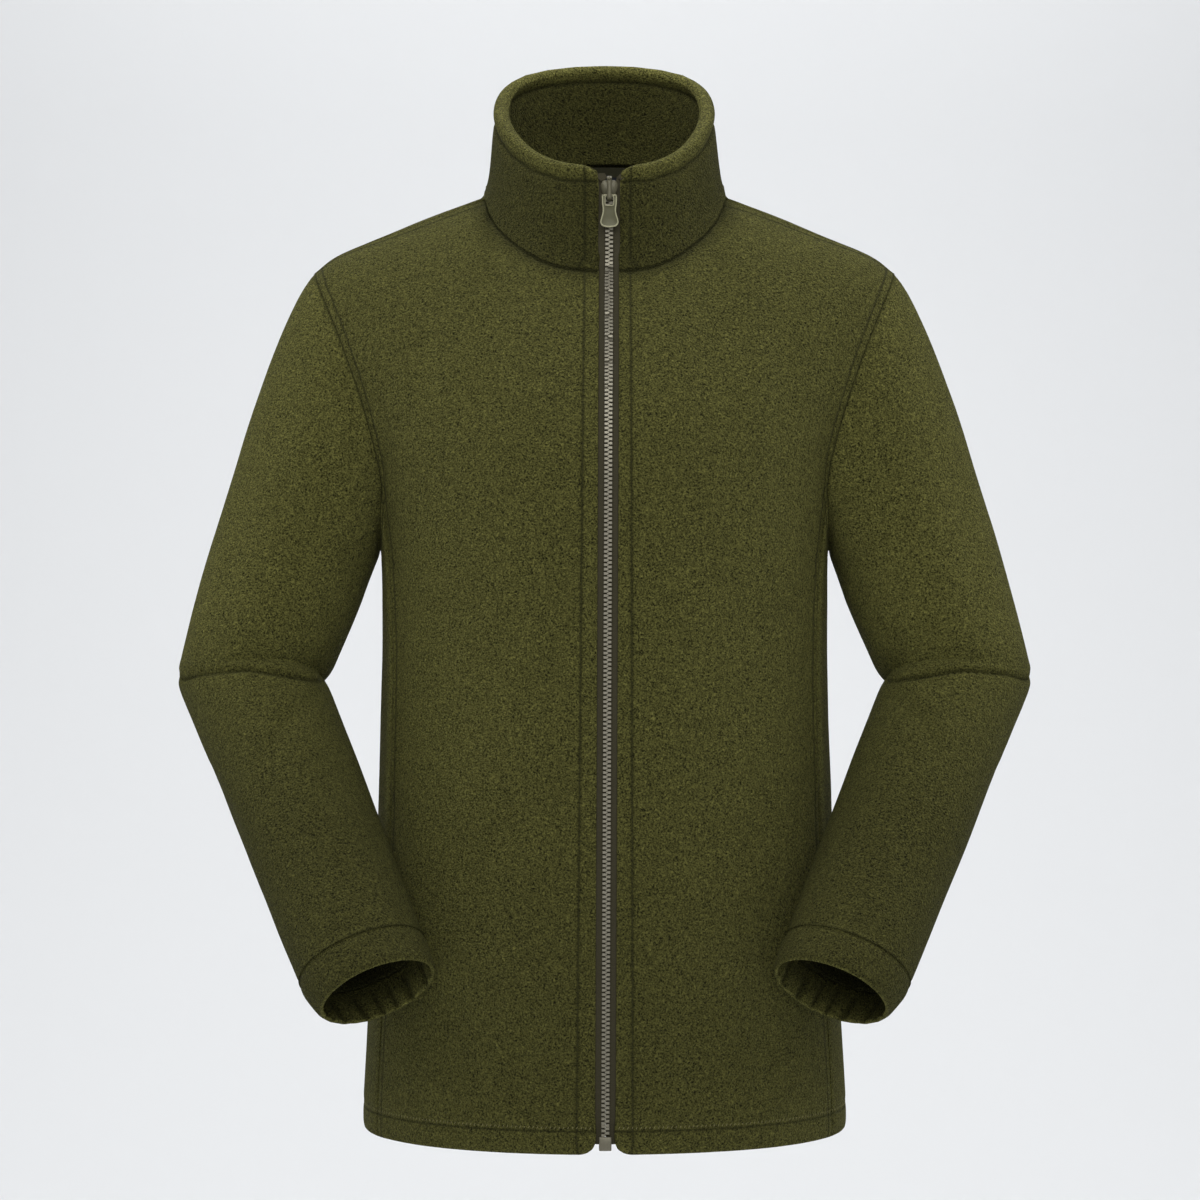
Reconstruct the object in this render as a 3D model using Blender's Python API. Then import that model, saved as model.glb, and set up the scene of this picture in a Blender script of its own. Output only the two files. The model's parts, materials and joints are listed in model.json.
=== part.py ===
# A fleece jacket with a stand collar and a full-length front zip, filled out as it is worn.
# Metres, +Z up, the front towards -Y. "left" and "right" are the wearer's, so the left is at +X.
# The origin is between the shoulders, level with the sides of the neck seam.

from collections import namedtuple
from math import asin, cos, pi, radians, sin

import bmesh
import bpy
from mathutils import Vector

# ---- cloth ----
fleece = 0.0026            # thickness of the body cloth
hemCloth = 0.0044          # thickness of the turned-up hem
seamGap = 0.0003           # space kept between pieces that are sewn together
tapeCloth = 0.001          # thickness of the zip tape, the neck tape and the label

# ---- zip ----
zipOpening = 0.0164        # width between the two front edges
zipLeanTop = 0.0042        # how far the zip line stands to +X at the collar
zipLeanHem = 0.0004        # and at the hem
zipLeanReach = 0.0850      # how far to each side the cloth goes with it
zipTop = 0.0080            # height of the top of the tapes
chainWidth = 0.0056
tapeWidth = 0.0150         # each tape, from under the teeth to under the front edge
tapeSplit = 0.0006         # space between the two tapes
toothHeight = 0.0022       # height of the teeth over the tapes
sliderHeight = -0.0015     # height of the middle of the slider
boxLow, boxHigh = -0.6802, -0.6712   # the box that holds the zip's lower end
boxWidth = 0.0088
boxFace, boxBack = 0.0030, 0.0006    # how far the box stands out over the tapes' level, and behind it

# ---- body ----
chestHeight = -0.2172      # where the side seams meet the armholes
armholeMiddle = -0.157     # height of the middle of the armholes
armholeHalfHeight = 0.105
armholeDepth = (0.0585, 0.0575)      # half depth of an armhole, front and back
seamTurnChest = 0.3934     # side seam's place round the body: 0 front centre, 0.5 side, 1 back centre
seamTurnHip = 0.372
panelColumns = 12          # columns of a half panel above the chest
neckColumns = 6            # of which so many run up to the neck
underarmColumns = 6
yokeRows = 9               # rows from the chest to the shoulder

Ring = namedtuple("Ring", "z half_width front back fullness")
bodyRings = [
    Ring(-0.6830, 0.1780, 0.1340, 0.1215, 2.10),
    Ring(-0.6790, 0.1790, 0.1352, 0.1226, 2.10),
    Ring(-0.6640, 0.1787, 0.1350, 0.1224, 2.10),
    Ring(-0.6216, 0.1761, 0.1347, 0.1210, 2.12),
    Ring(-0.5300, 0.1712, 0.1338, 0.1160, 2.16),
    Ring(-0.4440, 0.1673, 0.1310, 0.1100, 2.20),
    Ring(-0.3900, 0.1658, 0.1290, 0.1090, 2.22),
    Ring(-0.3400, 0.1648, 0.1275, 0.1110, 2.25),
    Ring(-0.2900, 0.1650, 0.1268, 0.1160, 2.28),
    Ring(-0.2620, 0.1655, 0.1264, 0.1200, 2.30),
    Ring(-0.2172, 0.1705, 0.1260, 0.1240, 2.30),
]
hemHeight = -0.683
hemLine = -0.664           # the hem is turned up to this height
bodyRows = [hemHeight, -0.679, hemLine, -0.660, -0.620, -0.575, -0.530, -0.485, -0.440, -0.400, -0.360, -0.320]
chestRows = 3              # rows from the last body row to the chest

# Front edge of the armhole, as seen from in front.
Edge = namedtuple("Edge", "z x")
armholeEdge = [
    Edge(-0.2172, 0.1623),
    Edge(-0.1815, 0.1680),
    Edge(-0.1300, 0.1837),
    Edge(-0.0850, 0.2015),
    Edge(-0.0520, 0.2165),
]

# Shoulder seam from the neck to the top of the sleeve. lift is the slope of the cloth across it,
# in degrees, and over how far the back rises past it before it falls away.
Seam = namedtuple("Seam", "x y z lift over")
shoulderSeam = [
    Seam(0.0894, -0.0100, 0.0007, 20, 1.12),
    Seam(0.1110, -0.0135, -0.0085, 24, 1.25),
    Seam(0.1320, -0.0150, -0.0172, 26, 1.30),
    Seam(0.1530, -0.0145, -0.0254, 24, 1.30),
    Seam(0.1740, -0.0120, -0.0328, 20, 1.25),
    Seam(0.1960, -0.0060, -0.0406, 14, 1.20),
    Seam(0.2165, 0.0000, -0.0520, 8, 1.00),
]

# Collar stations from the zip round to the back centre: the neck seam, the middle of the rolled
# rim above it, and the slope of the body cloth where it meets the neck seam, in degrees.
Stand = namedtuple("Stand", "x y z rim_x rim_y rim_z lift")
collarStands = [
    Stand(0.0082, -0.0753, -0.0588, 0.0082, -0.0720, 0.0105, 62),
    Stand(0.0310, -0.0710, -0.0573, 0.0290, -0.0690, 0.0125, 60),
    Stand(0.0500, -0.0640, -0.0495, 0.0475, -0.0605, 0.0195, 55),
    Stand(0.0657, -0.0530, -0.0375, 0.0620, -0.0480, 0.0315, 50),
    Stand(0.0775, -0.0400, -0.0264, 0.0708, -0.0340, 0.0445, 45),
    Stand(0.0853, -0.0260, -0.0135, 0.0752, -0.0200, 0.0550, 40),
    Stand(0.0894, -0.0100, 0.0007, 0.0768, -0.0050, 0.0645, 20),
    Stand(0.0885, 0.0075, 0.0110, 0.0748, 0.0105, 0.0765, -14),
    Stand(0.0830, 0.0245, 0.0195, 0.0690, 0.0240, 0.0860, -34),
    Stand(0.0710, 0.0405, 0.0262, 0.0590, 0.0355, 0.0930, -46),
    Stand(0.0510, 0.0530, 0.0308, 0.0430, 0.0460, 0.0985, -54),
    Stand(0.0265, 0.0605, 0.0340, 0.0222, 0.0525, 0.1020, -58),
    Stand(0.0000, 0.0630, 0.0350, 0.0000, 0.0550, 0.1030, -60),
]
rimRadius = 0.0050         # the rolled top edge
plyGap = tapeCloth + 2 * seamGap     # space between the two plies, which holds the zip tape

# Section of a collar ply: up is the share of the way to the rim, dip how far the face is pulled in.
Ply = namedtuple("Ply", "up dip")
collarPly = [Ply(0.0, 0.0), Ply(0.14, 0.0016), Ply(0.40, 0.0014), Ply(0.78, 0.0003), Ply(0.89, 0.0014)]
rimAngles = (0, 35, 65, 90)          # degrees round the rim, from the outer side to the crest

# ---- sleeves ----
sleeveStart = Vector((0.2354, -0.0060, -0.2810))     # middle of the sleeve just below the underarm
elbow = Vector((0.2588, -0.0200, -0.3556))
wrist = Vector((0.1600, -0.1440, -0.5690))           # middle of the cuff's opening
capPuff = 0.17             # how far the sleeve head swells out, as a share of its length
sleeveHeadRows = 7
elbowPinch = 0.0030        # depth of the fold across the elbow
cuffLength = 0.0260
cuffCloth = 0.0030
cuffGathers = 9            # on the back half
gatherDepth = 0.0021
gatherPoints = 4           # points for each gather
cuffDraw = 0.0016          # how far the elastic draws the back of the cuff in
cuffSwing = 0.0026         # how far the opening stands towards the body
cuffFrontPoints = 12

# Rings down the sleeve. along is the share of the way on its stretch, bend how far the ring turns
# towards the fold of the elbow, pinch the share of the fold's depth.
Cut = namedtuple("Cut", "along side depth bend pinch")
upperCuts = [
    Cut(0.00, 0.0602, 0.0580, 0.10, 0.0),
    Cut(0.36, 0.0583, 0.0565, 0.35, 0.0),
    Cut(0.68, 0.0560, 0.0548, 0.70, 0.0),
    Cut(0.90, 0.0540, 0.0535, 0.93, -0.3),
    Cut(1.00, 0.0522, 0.0528, 1.00, 1.0),
]
lowerCuts = [
    Cut(0.045, 0.0514, 0.0520, 0.92, -0.3),
    Cut(0.14, 0.0512, 0.0512, 0.62, 0.0),
    Cut(0.28, 0.0508, 0.0502, 0.28, 0.0),
    Cut(0.44, 0.0502, 0.0492, 0.08, 0.0),
    Cut(0.62, 0.0494, 0.0483, 0.00, 0.0),
    Cut(0.81, 0.0482, 0.0474, 0.00, 0.0),
    Cut(1.00, 0.0468, 0.0466, 0.00, 0.0),
]
cuffCuts = [
    Cut(0.00, 0.0468, 0.0466, 0.0, 0.0),
    Cut(0.35, 0.0466, 0.0468, 0.0, 0.0),
    Cut(0.90, 0.0440, 0.0466, 0.0, 0.0),
    Cut(1.00, 0.0424, 0.0456, 0.0, 0.0),
]
gatherShare = (0.0, 0.8, 1.0, 0.9)   # how far the gathers have formed at each of the cuff's rings

# ---- neck tape and label ----
# Heights are shares of the back panel's top row, from the neck seam down.
neckTapeStart, neckTapeWidth = 0.06, 0.36
labelStart, labelLength = 0.39, 0.80
neckTapeGap = 0.0009
labelHalfWidth = 0.0110
labelMiddle = 0.0050

colours = {
    "fleece": (0.075, 0.075, 0.024, 1.0),
    "tape": (0.072, 0.064, 0.030, 1.0),
    "metal": (0.155, 0.140, 0.100, 1.0),
    "label": (0.012, 0.014, 0.022, 1.0),
}


# ---- reading the tables ----

def read(table, column, z):
    # The column's value at height z, on a smooth curve through the rows, which rise in z.
    heights = [row.z for row in table]
    values = [getattr(row, column) for row in table]
    last = len(table) - 1
    z = min(max(z, heights[0]), heights[last])
    low = max(i for i in range(last) if heights[i] <= z)

    def slope(i):
        before, after = max(i - 1, 0), min(i + 1, last)
        return (values[after] - values[before]) / (heights[after] - heights[before])

    step = heights[low + 1] - heights[low]
    return hermite(values[low], values[low + 1], slope(low) * step, slope(low + 1) * step, (z - heights[low]) / step)


def hermite(start, end, leave, arrive, t):
    # A cubic from start to end, with the given tangents.
    return (start * (2 * t**3 - 3 * t**2 + 1) + end * (3 * t**2 - 2 * t**3)
            + leave * (t**3 - 2 * t**2 + t) + arrive * (t**3 - t**2))


def mix(a, b, share):
    return a + (b - a) * share


# ---- the body's surface ----

def body_point(turn, z):
    # A point of the body at a place round it and a height, up to the chest.
    power = 2 / read(bodyRings, "fullness", z)
    across, ahead = sin(turn * pi), cos(turn * pi)
    depth = read(bodyRings, "front" if ahead > 0 else "back", z)
    x = read(bodyRings, "half_width", z) * abs(across)**power
    y = depth * abs(ahead)**power
    return Vector((x, -y if ahead > 0 else y, z))


def zip_turn(z):
    # The place round the body where the front edge runs beside the zip.
    power = 2 / read(bodyRings, "fullness", z)
    return asin((zipOpening / 2 / read(bodyRings, "half_width", z))**(1 / power)) / pi


def seam_turn(z):
    # The side seam moves forward a little on its way down from the armhole.
    share = min(max((chestHeight - z) / 0.12, 0.0), 1.0)
    return mix(seamTurnChest, seamTurnHip, share * share * (3 - 2 * share))


def armhole_point(angle):
    # A point of the armhole, by its angle in degrees: 0 at the shoulder, 90 in front, 180 under the arm.
    z = armholeMiddle + armholeHalfHeight * cos(radians(angle))
    limit = low_angle()
    if limit < angle < 360 - limit:
        share = (angle - limit) / (360 - 2 * limit)
        return body_point(mix(seamTurnChest, 1 - seamTurnChest, share), z)
    depth = armholeDepth[0 if angle <= 180 else 1]
    return Vector((read(armholeEdge, "x", z), -depth * sin(radians(angle)), z))


def low_angle():
    # The armhole's angle where it meets the side seam.
    share = (chestHeight - armholeMiddle) / armholeHalfHeight
    return 90 + asin(-share) * 180 / pi


def lean(point):
    # The zip and the cloth beside it stand a little to +X towards the top.
    share = min(max(1 - point.z / hemHeight, 0.0), 1.0)
    near = max(0.0, 1 - abs(point.x) / zipLeanReach)**2 if point.y < 0 else 0.0
    return point + Vector((mix(zipLeanHem, zipLeanTop, share) * near, 0, 0))


def top_edge():
    # The top edge of a half panel, from the zip or the back centre to the shoulder, with its slope.
    front = [(Vector((s.x, s.y, s.z)), s.lift, 1.0) for s in collarStands[:neckColumns]]
    back = [(Vector((s.x, s.y, s.z)), s.lift, 1.0) for s in reversed(collarStands[neckColumns + 1:])]
    shoulder = [(Vector((s.x, s.y, s.z)), s.lift, s.over) for s in shoulderSeam]
    return front + shoulder, back + shoulder


def yoke(bottom, top, side):
    # Rows from the chest to the top edge. Each column leaves the chest upright and reaches the top
    # edge at its slope, and the outer column is drawn onto the armhole. side is -1 in front, 1 behind.
    edge = []
    for row in range(yokeRows + 1):
        angle = low_angle() * (1 - row / yokeRows)
        edge.append(armhole_point(angle if side < 0 else 360 - angle))
    rows = []
    for row in range(1, yokeRows + 1):
        t = row / yokeRows
        line = []
        for column, start in enumerate(bottom):
            end, lift, over = top[column]
            reach = (end - start).length
            leave = Vector((0, 0, reach))
            arrive = Vector((0, -side * cos(radians(lift)), sin(radians(lift)))) * reach
            if side > 0:
                arrive = Vector((0, -cos(radians(lift)), -sin(radians(lift)))) * reach * over
            line.append(hermite(start, end, leave, arrive, t))
        pull = edge[row] - line[-1]
        for column in range(len(line)):
            line[column] = line[column] + pull * (column / panelColumns)**3
        rows.append(line)
    return rows


def body_grids():
    # The left half's grids: the front, the lower back with the side and the underarm, the upper back.
    front = []
    for z in bodyRows:
        front.append([body_point(mix(zip_turn(z), seam_turn(z), c / panelColumns), z)
                      for c in range(panelColumns + 1)])
    back = []
    for z in bodyRows:
        line = [body_point(mix(1, 1 - seamTurnChest, c / panelColumns), z) for c in range(panelColumns)]
        line += [body_point(mix(1 - seamTurnChest, seam_turn(z), c / underarmColumns), z)
                 for c in range(underarmColumns + 1)]
        back.append(line)
    for row in range(1, chestRows + 1):
        share = row / chestRows
        z = mix(bodyRows[-1], chestHeight, share)
        front.append([body_point(mix(zip_turn(z), seam_turn(z), c / panelColumns), z)
                      for c in range(panelColumns + 1)])
        line = [body_point(mix(1, 1 - seamTurnChest, c / panelColumns), z) for c in range(panelColumns)]
        for c in range(underarmColumns + 1):
            turn = mix(1 - seamTurnChest, seam_turn(z), c / underarmColumns)
            angle = mix(360 - low_angle(), low_angle(), c / underarmColumns)
            z_top = armhole_point(angle).z
            line.append(body_point(turn, mix(bodyRows[-1], z_top, share)))
        if row == chestRows:
            for c in range(underarmColumns + 1):
                line[panelColumns + c] = armhole_point(mix(360 - low_angle(), low_angle(), c / underarmColumns))
            front[-1][-1] = line[-1].copy()
        back.append(line)
    front_top, back_top = top_edge()
    front += yoke(front[-1], front_top, -1)
    upper = [back[-1][:panelColumns + 1]]
    upper += yoke(upper[0], back_top, 1)
    return front, back, upper


# ---- the sleeve's surface ----

def sleeve_frames():
    # Directions down the two stretches of the sleeve, outwards and forwards across each of them.
    down = (elbow - sleeveStart).normalized()
    out = Vector((1, 0, 0))
    out = (out - down * out.dot(down)).normalized()
    ahead = down.cross(out)
    if ahead.y > 0:
        ahead = -ahead
    below = (wrist - elbow).normalized()
    turn = down.rotation_difference(below)
    return (down, out, ahead), (below, turn @ out, turn @ ahead)


def sleeve_angles():
    # The sleeve's points lie at the armhole's angles: the front, under the arm, then the back.
    low = low_angle()
    front = [low * i / yokeRows for i in range(yokeRows)]
    under = [mix(low, 360 - low, i / underarmColumns) for i in range(underarmColumns)]
    back = [360 - low * (1 - i / yokeRows) for i in range(yokeRows)]
    return front + under + back


def sleeve_ring(middle, frame, cut, fold, angles, swell=None):
    # A ring of the sleeve. Its section is square to the stretch, then slides along it into a plane
    # that turns towards the fold. swell moves each point out by a distance.
    down, out, ahead = frame
    face = mix(down, fold, cut.bend).normalized()
    ring = []
    for i, angle in enumerate(angles):
        a = radians(angle)
        reach = swell[i] if swell else 0.0
        if cut.pinch:
            facing = (out * cos(a) + ahead * sin(a)).dot((fold - down).normalized())
            reach -= elbowPinch * cut.pinch * min(max(0.75 + 0.75 * facing, 0.0), 1.0)
        spoke = out * (cut.side + reach) * cos(a) + ahead * (cut.depth + reach) * sin(a)
        spoke -= down * (spoke.dot(face) / down.dot(face))
        ring.append(middle + spoke)
    return ring


def sleeve_grid():
    # The left sleeve's rings, from the armhole to the cuff.
    upper, lower = sleeve_frames()
    fold = (upper[0] + lower[0]).normalized()
    angles = sleeve_angles()
    armhole = [armhole_point(angle) for angle in angles]
    first = sleeve_ring(sleeveStart, upper, upperCuts[0], fold, angles)
    rows = [armhole]
    for row in range(1, sleeveHeadRows):
        t = row / sleeveHeadRows
        line = []
        for angle, start, end in zip(angles, armhole, first):
            a = radians(angle)
            chord = end - start
            puff = (upper[1] * max(cos(a), 0.0) + upper[2] * sin(a)) * capPuff * chord.length
            line.append(hermite(start, end, chord + puff, upper[0] * chord.length, t))
        rows.append(line)
    for cut in upperCuts:
        rows.append(sleeve_ring(mix(sleeveStart, elbow, cut.along), upper, cut, fold, angles))
    end = wrist - lower[0] * cuffLength
    for cut in lowerCuts:
        rows.append(sleeve_ring(mix(elbow, end, cut.along), lower, cut, fold, angles))
    return rows


def cuff_grids():
    # The left cuff's outer and inner rings. The back half waves in gathers, with both faces alike.
    _, lower = sleeve_frames()
    start = wrist - lower[0] * cuffLength
    back_points = cuffGathers * gatherPoints
    angles = [180 * i / cuffFrontPoints for i in range(cuffFrontPoints)]
    angles += [180 + 180 * i / back_points for i in range(back_points)]
    outer, inner = [], []
    for cut, share in zip(cuffCuts, gatherShare):
        swell = [0.0] * cuffFrontPoints
        for i in range(back_points):
            fade = min(1.0, i / gatherPoints, (back_points - i) / gatherPoints)
            wave = gatherDepth * fade * sin(2 * pi * i / gatherPoints)
            swell.append(share * (wave - cuffDraw * sin(pi * i / back_points)))
        thin = [value - cuffCloth for value in swell]
        middle = mix(start, wrist, cut.along) - lower[1] * cuffSwing * cut.along**2
        outer.append(sleeve_ring(middle, lower, cut, lower[0], angles, swell))
        inner.append(sleeve_ring(middle, lower, cut, lower[0], angles, thin))
    return outer, inner


# ---- the collar's surface ----

def collar_frame(index):
    # A station's neck point, rim middle and outward direction, from the half collar's plan.
    stand = collarStands[index]
    before = collarStands[max(index - 1, 0)]
    if index + 1 < len(collarStands):
        after_x, after_y = collarStands[index + 1].rim_x, collarStands[index + 1].rim_y
    else:
        after_x, after_y = -before.rim_x, before.rim_y
    out = Vector((after_y - before.rim_y, before.rim_x - after_x, 0)).normalized()
    if index == 0:
        out = Vector((0.04, -1, 0)).normalized()
    base = Vector((stand.x, stand.y, stand.z))
    return base, Vector((stand.rim_x, stand.rim_y, stand.rim_z)), out


def collar_columns(inside):
    # For each station, the outer or inner ply's face and core points, from the neck to the crest.
    faces, cores = [], []
    for index in range(len(collarStands)):
        base, rim, out = collar_frame(index)
        shoulder = rim + out * rimRadius
        face, core = [], []
        for ply in collarPly:
            point = mix(base, shoulder, ply.up)
            if inside:
                point = point - out * (fleece + plyGap)
                face.append(point - out * (fleece - ply.dip))
                core.append(point)
            else:
                face.append(point - out * ply.dip)
                core.append(point - out * fleece)
        for angle in rimAngles:
            a = radians(angle)
            spoke = out * cos(a) * (-1 if inside else 1) + Vector((0, 0, sin(a)))
            face.append(rim + spoke * rimRadius)
            core.append(rim + spoke * (rimRadius - fleece))
        faces.append(face)
        cores.append(core)
    turned = lambda columns: [[column[i] for column in columns] for i in range(len(columns[0]))]
    return turned(faces), turned(cores)


# ---- making solids ----

def mirrored(grid):
    return [[Vector((-p.x, p.y, p.z)) for p in reversed(row)] for row in grid]


def across(grid, seam_first=True):
    # Both halves of a grid whose first or last column lies on the centre line, from right to left.
    other = mirrored(grid)
    if seam_first:
        return [a[:-1] + b for a, b in zip(other, grid)]
    return [a[:-1] + b for a, b in zip(grid, other)]


def closed(grid):
    # A ring's rows with the first point again at the end.
    return [row + [row[0]] for row in grid]


def leaned(grid):
    return [[lean(point) for point in row] for row in grid]


def spot(point):
    # Points nearer than a hundredth of a millimetre are the same point.
    return tuple(round(value * 1e5) for value in point)


def cells(grid):
    for low, high in zip(grid, grid[1:]):
        for i in range(len(low) - 1):
            yield low[i], low[i + 1], high[i + 1], high[i]


def cloth_normals(grids):
    # The normal at every point, halfway between those of the pieces that meet there. Where they meet
    # in a fold it is made longer, so that the walls keep their thickness.
    sides = {}
    for grid in grids:
        own = {}
        for a, b, c, d in cells(grid):
            for point in (a, b, c, d):
                own[spot(point)] = own.get(spot(point), Vector()) + (c - a).cross(d - b)
        for key, value in own.items():
            sides.setdefault(key, []).append(value.normalized())
    normals = {}
    for key, values in sides.items():
        middle = sum(values, Vector()).normalized()
        normals[key] = middle / max(middle.dot(values[0]), 0.6)
    return normals


def thickness(point):
    return hemCloth if point.z < hemLine + 1e-5 else fleece


def lined(grids, normals):
    # The inner point behind each point of the grids.
    return {spot(p): p - normals[spot(p)] * thickness(p) for grid in grids for row in grid for p in row}


def paired(faces, cores):
    return {spot(f): c for row_f, row_c in zip(faces, cores) for f, c in zip(row_f, row_c)}


def wall(name, grids, inner, material):
    # A closed cloth wall through the grids' points and the inner points behind them. Its free edges
    # draw back by half the seam gap, so that pieces that share an edge stay apart.
    sheet = bmesh.new()
    made = {}
    for grid in grids:
        for corners in cells(grid):
            loop = []
            for point in corners:
                key = spot(point)
                if key not in made:
                    made[key] = sheet.verts.new(point)
                if made[key] not in loop:
                    loop.append(made[key])
            sheet.faces.new(loop)
    sheet.verts.index_update()
    behind = {made[key].index: inner[key] for key in made}
    shift = {}
    for vert in sheet.verts:
        inward = []
        for edge in vert.link_edges:
            if edge.is_boundary:
                # Square to the edge and to the cut through the wall's thickness.
                away = (edge.verts[1].co - edge.verts[0].co).cross(vert.co - behind[vert.index]).normalized()
                to_face = edge.link_faces[0].calc_center_median() - edge.verts[0].co
                inward.append(away if away.dot(to_face) > 0 else -away)
        shift[vert.index] = Vector()
        if inward:
            total = inward[0] + inward[-1]
            shift[vert.index] = total * (seamGap * 0.55 / max(1 + inward[0].dot(inward[-1]), 0.4))
    solid = bmesh.new()
    outer_verts = [solid.verts.new(v.co + shift[v.index]) for v in sheet.verts]
    inner_verts = [solid.verts.new(behind[v.index] + shift[v.index]) for v in sheet.verts]
    for face in sheet.faces:
        order = [v.index for v in face.verts]
        solid.faces.new([outer_verts[i] for i in order])
        solid.faces.new([inner_verts[i] for i in reversed(order)])
    for edge in sheet.edges:
        if edge.is_boundary:
            # Both pieces at a seam cut this side along the same diagonal.
            a, b = [v.index for v in sorted(edge.verts, key=lambda v: spot(v.co))]
            solid.faces.new([outer_verts[a], outer_verts[b], inner_verts[b]])
            solid.faces.new([outer_verts[a], inner_verts[b], inner_verts[a]])
    sheet.free()
    return finish(name, solid, material)


def finish(name, solid, material, smooth=True):
    bmesh.ops.recalc_face_normals(solid, faces=solid.faces)
    mesh = bpy.data.meshes.new(name)
    solid.to_mesh(mesh)
    solid.free()
    if smooth:
        mesh.shade_smooth()
        mesh.set_sharp_from_angle(angle=radians(50))
    mesh.materials.append(material)
    obj = bpy.data.objects.new(name, mesh)
    parts.objects.link(obj)
    return obj


def make_material(name, roughness, metallic=0.0):
    material = bpy.data.materials.new(name)
    material.use_nodes = True
    shader = material.node_tree.nodes["Principled BSDF"]
    shader.inputs["Base Color"].default_value = colours[name]
    shader.inputs["Roughness"].default_value = roughness
    shader.inputs["Metallic"].default_value = metallic
    return material


# ---- the zip ----

def zip_level(left, right, inside):
    # The line between the two front edges, at the level of the tapes, from the hem to the rim.
    line = []
    for row_left, row_right in zip(left, right):
        ends = []
        for point in (row_left[0], row_right[-1]):
            ends.append(mix(point, inside[spot(point)], fleece / thickness(point)))
        line.append((ends[0] + ends[1]) / 2)
    return line


def cut_rows(rows, low, high):
    # The rows of points between two heights of their first points, with a row made at each of the two.
    heights = [row[0].z for row in rows]
    kept = [i for i, z in enumerate(heights) if low < z < high]
    ends = []
    for height, i in ((low, kept[0] - 1), (high, kept[-1])):
        share = (height - heights[i]) / (heights[i + 1] - heights[i])
        ends.append([mix(a, b, share) for a, b in zip(rows[i], rows[i + 1])])
    return [ends[0]] + [rows[i] for i in kept] + [ends[1]]


def make_tape(name, rows, level, edge, beside, inside, material):
    # A zip tape behind the front edge: from under the teeth, past the edge, to under the cloth. It
    # follows the inner points of the front and then of the collar's outer ply.
    side = 1 if edge == 0 else -1
    both = []
    for row, middle in zip(rows, level):
        first, second = row[edge], row[beside]
        under = (tapeWidth - zipOpening / 2) / (second - first).length
        line = [(middle + Vector((side * tapeSplit / 2, 0, 0)), Vector((0, 1, 0)))]
        for share in (0.0, under):
            point = mix(first, second, share)
            inner = mix(inside[spot(first)], inside[spot(second)], share)
            line.append((Vector((point.x, inner.y, inner.z)), (inner - point).normalized()))
        both.append([p + down * seamGap for p, down in line] + [p + down * (seamGap + tapeCloth) for p, down in line])
    both = cut_rows(both, boxHigh, zipTop)
    faces, backs = [row[:3] for row in both], [row[3:] for row in both]
    wall(name, [faces], paired(faces, backs), material)


def strip(name, line, width, out, back, material):
    # A flat strip along the zip, standing out over the line by out and reaching behind it by back.
    solid = bmesh.new()
    rings = []
    for i, point in enumerate(line):
        along = line[min(i + 1, len(line) - 1)] - line[max(i - 1, 0)]
        ahead = Vector((0, -along.z, along.y)).normalized()
        sides = [point + Vector((x, 0, 0)) for x in (-width / 2, width / 2)]
        corners = [sides[0] + ahead * out, sides[1] + ahead * out, sides[1] - ahead * back, sides[0] - ahead * back]
        rings.append([solid.verts.new(p) for p in corners])
    for low, high in zip(rings, rings[1:]):
        for i in range(4):
            j = (i + 1) % 4
            solid.faces.new([low[i], low[j], high[j], high[i]])
    solid.faces.new(rings[0])
    solid.faces.new(rings[-1])
    return finish(name, solid, material, smooth=False)


def plate(name, outline, hole, thick, material):
    # A flat plate in the XZ plane from a half outline of (half width, height) rows, with a slot.
    curve = bpy.data.curves.new(name, "CURVE")
    curve.dimensions = "2D"
    curve.fill_mode = "BOTH"
    curve.extrude = thick / 2
    loops = [[(x, z) for x, z in outline] + [(-x, z) for x, z in reversed(outline)]]
    if hole:
        loops.append(hole)
    for loop in loops:
        spline = curve.splines.new("POLY")
        spline.points.add(len(loop) - 1)
        for point, (x, z) in zip(spline.points, loop):
            point.co = (x, z, 0, 1)
        spline.use_cyclic_u = True
    flat = bpy.data.objects.new(name + "_outline", curve)
    bpy.context.scene.collection.objects.link(flat)
    bpy.context.view_layer.update()
    mesh = bpy.data.meshes.new_from_object(flat.evaluated_get(bpy.context.evaluated_depsgraph_get()))
    bpy.data.objects.remove(flat)
    solid = bmesh.new()
    solid.from_mesh(mesh)
    bpy.data.meshes.remove(mesh)
    bmesh.ops.remove_doubles(solid, verts=solid.verts, dist=1e-6)
    for vert in solid.verts:
        vert.co = Vector((vert.co.x, -vert.co.z, vert.co.y))
    return finish(name, solid, material, smooth=False)


# Slider: half outline of its front plate, and the bridge over it that holds the pull tab.
sliderOutline = [(0.0032, 0.0075), (0.0056, 0.0062), (0.0060, 0.0030), (0.0052, -0.0030), (0.0044, -0.0075)]
sliderPlate = 0.0018       # thickness of the plate
bridgeWidth = 0.0034
bridgeHeight = 0.0170
bridgeSpace = 0.0036       # height of the bridge's inner side over its feet
bridgeBar = 0.0012
bridgeSquare = 2.2         # how squarely the bridge turns at its ends
bridgeSteps = 8
bridgeSink = 0.0004        # how far the bridge's feet reach into the plate
# Pull tab: half outline below its pivot, and the slot that the bridge passes through.
pullOutline = [(0.0050, 0.0010), (0.0054, 0.0004), (0.0054, -0.0070), (0.0048, -0.0110), (0.0049, -0.0140),
               (0.0066, -0.0190), (0.0064, -0.0222), (0.0046, -0.0240)]
pullSlot = [(-0.0027, -0.0009), (-0.0027, -0.0078), (0.0027, -0.0078), (0.0027, -0.0009)]
pullThick = 0.0016
pivotDrop = 0.0038         # pivot below the slider's middle


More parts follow.
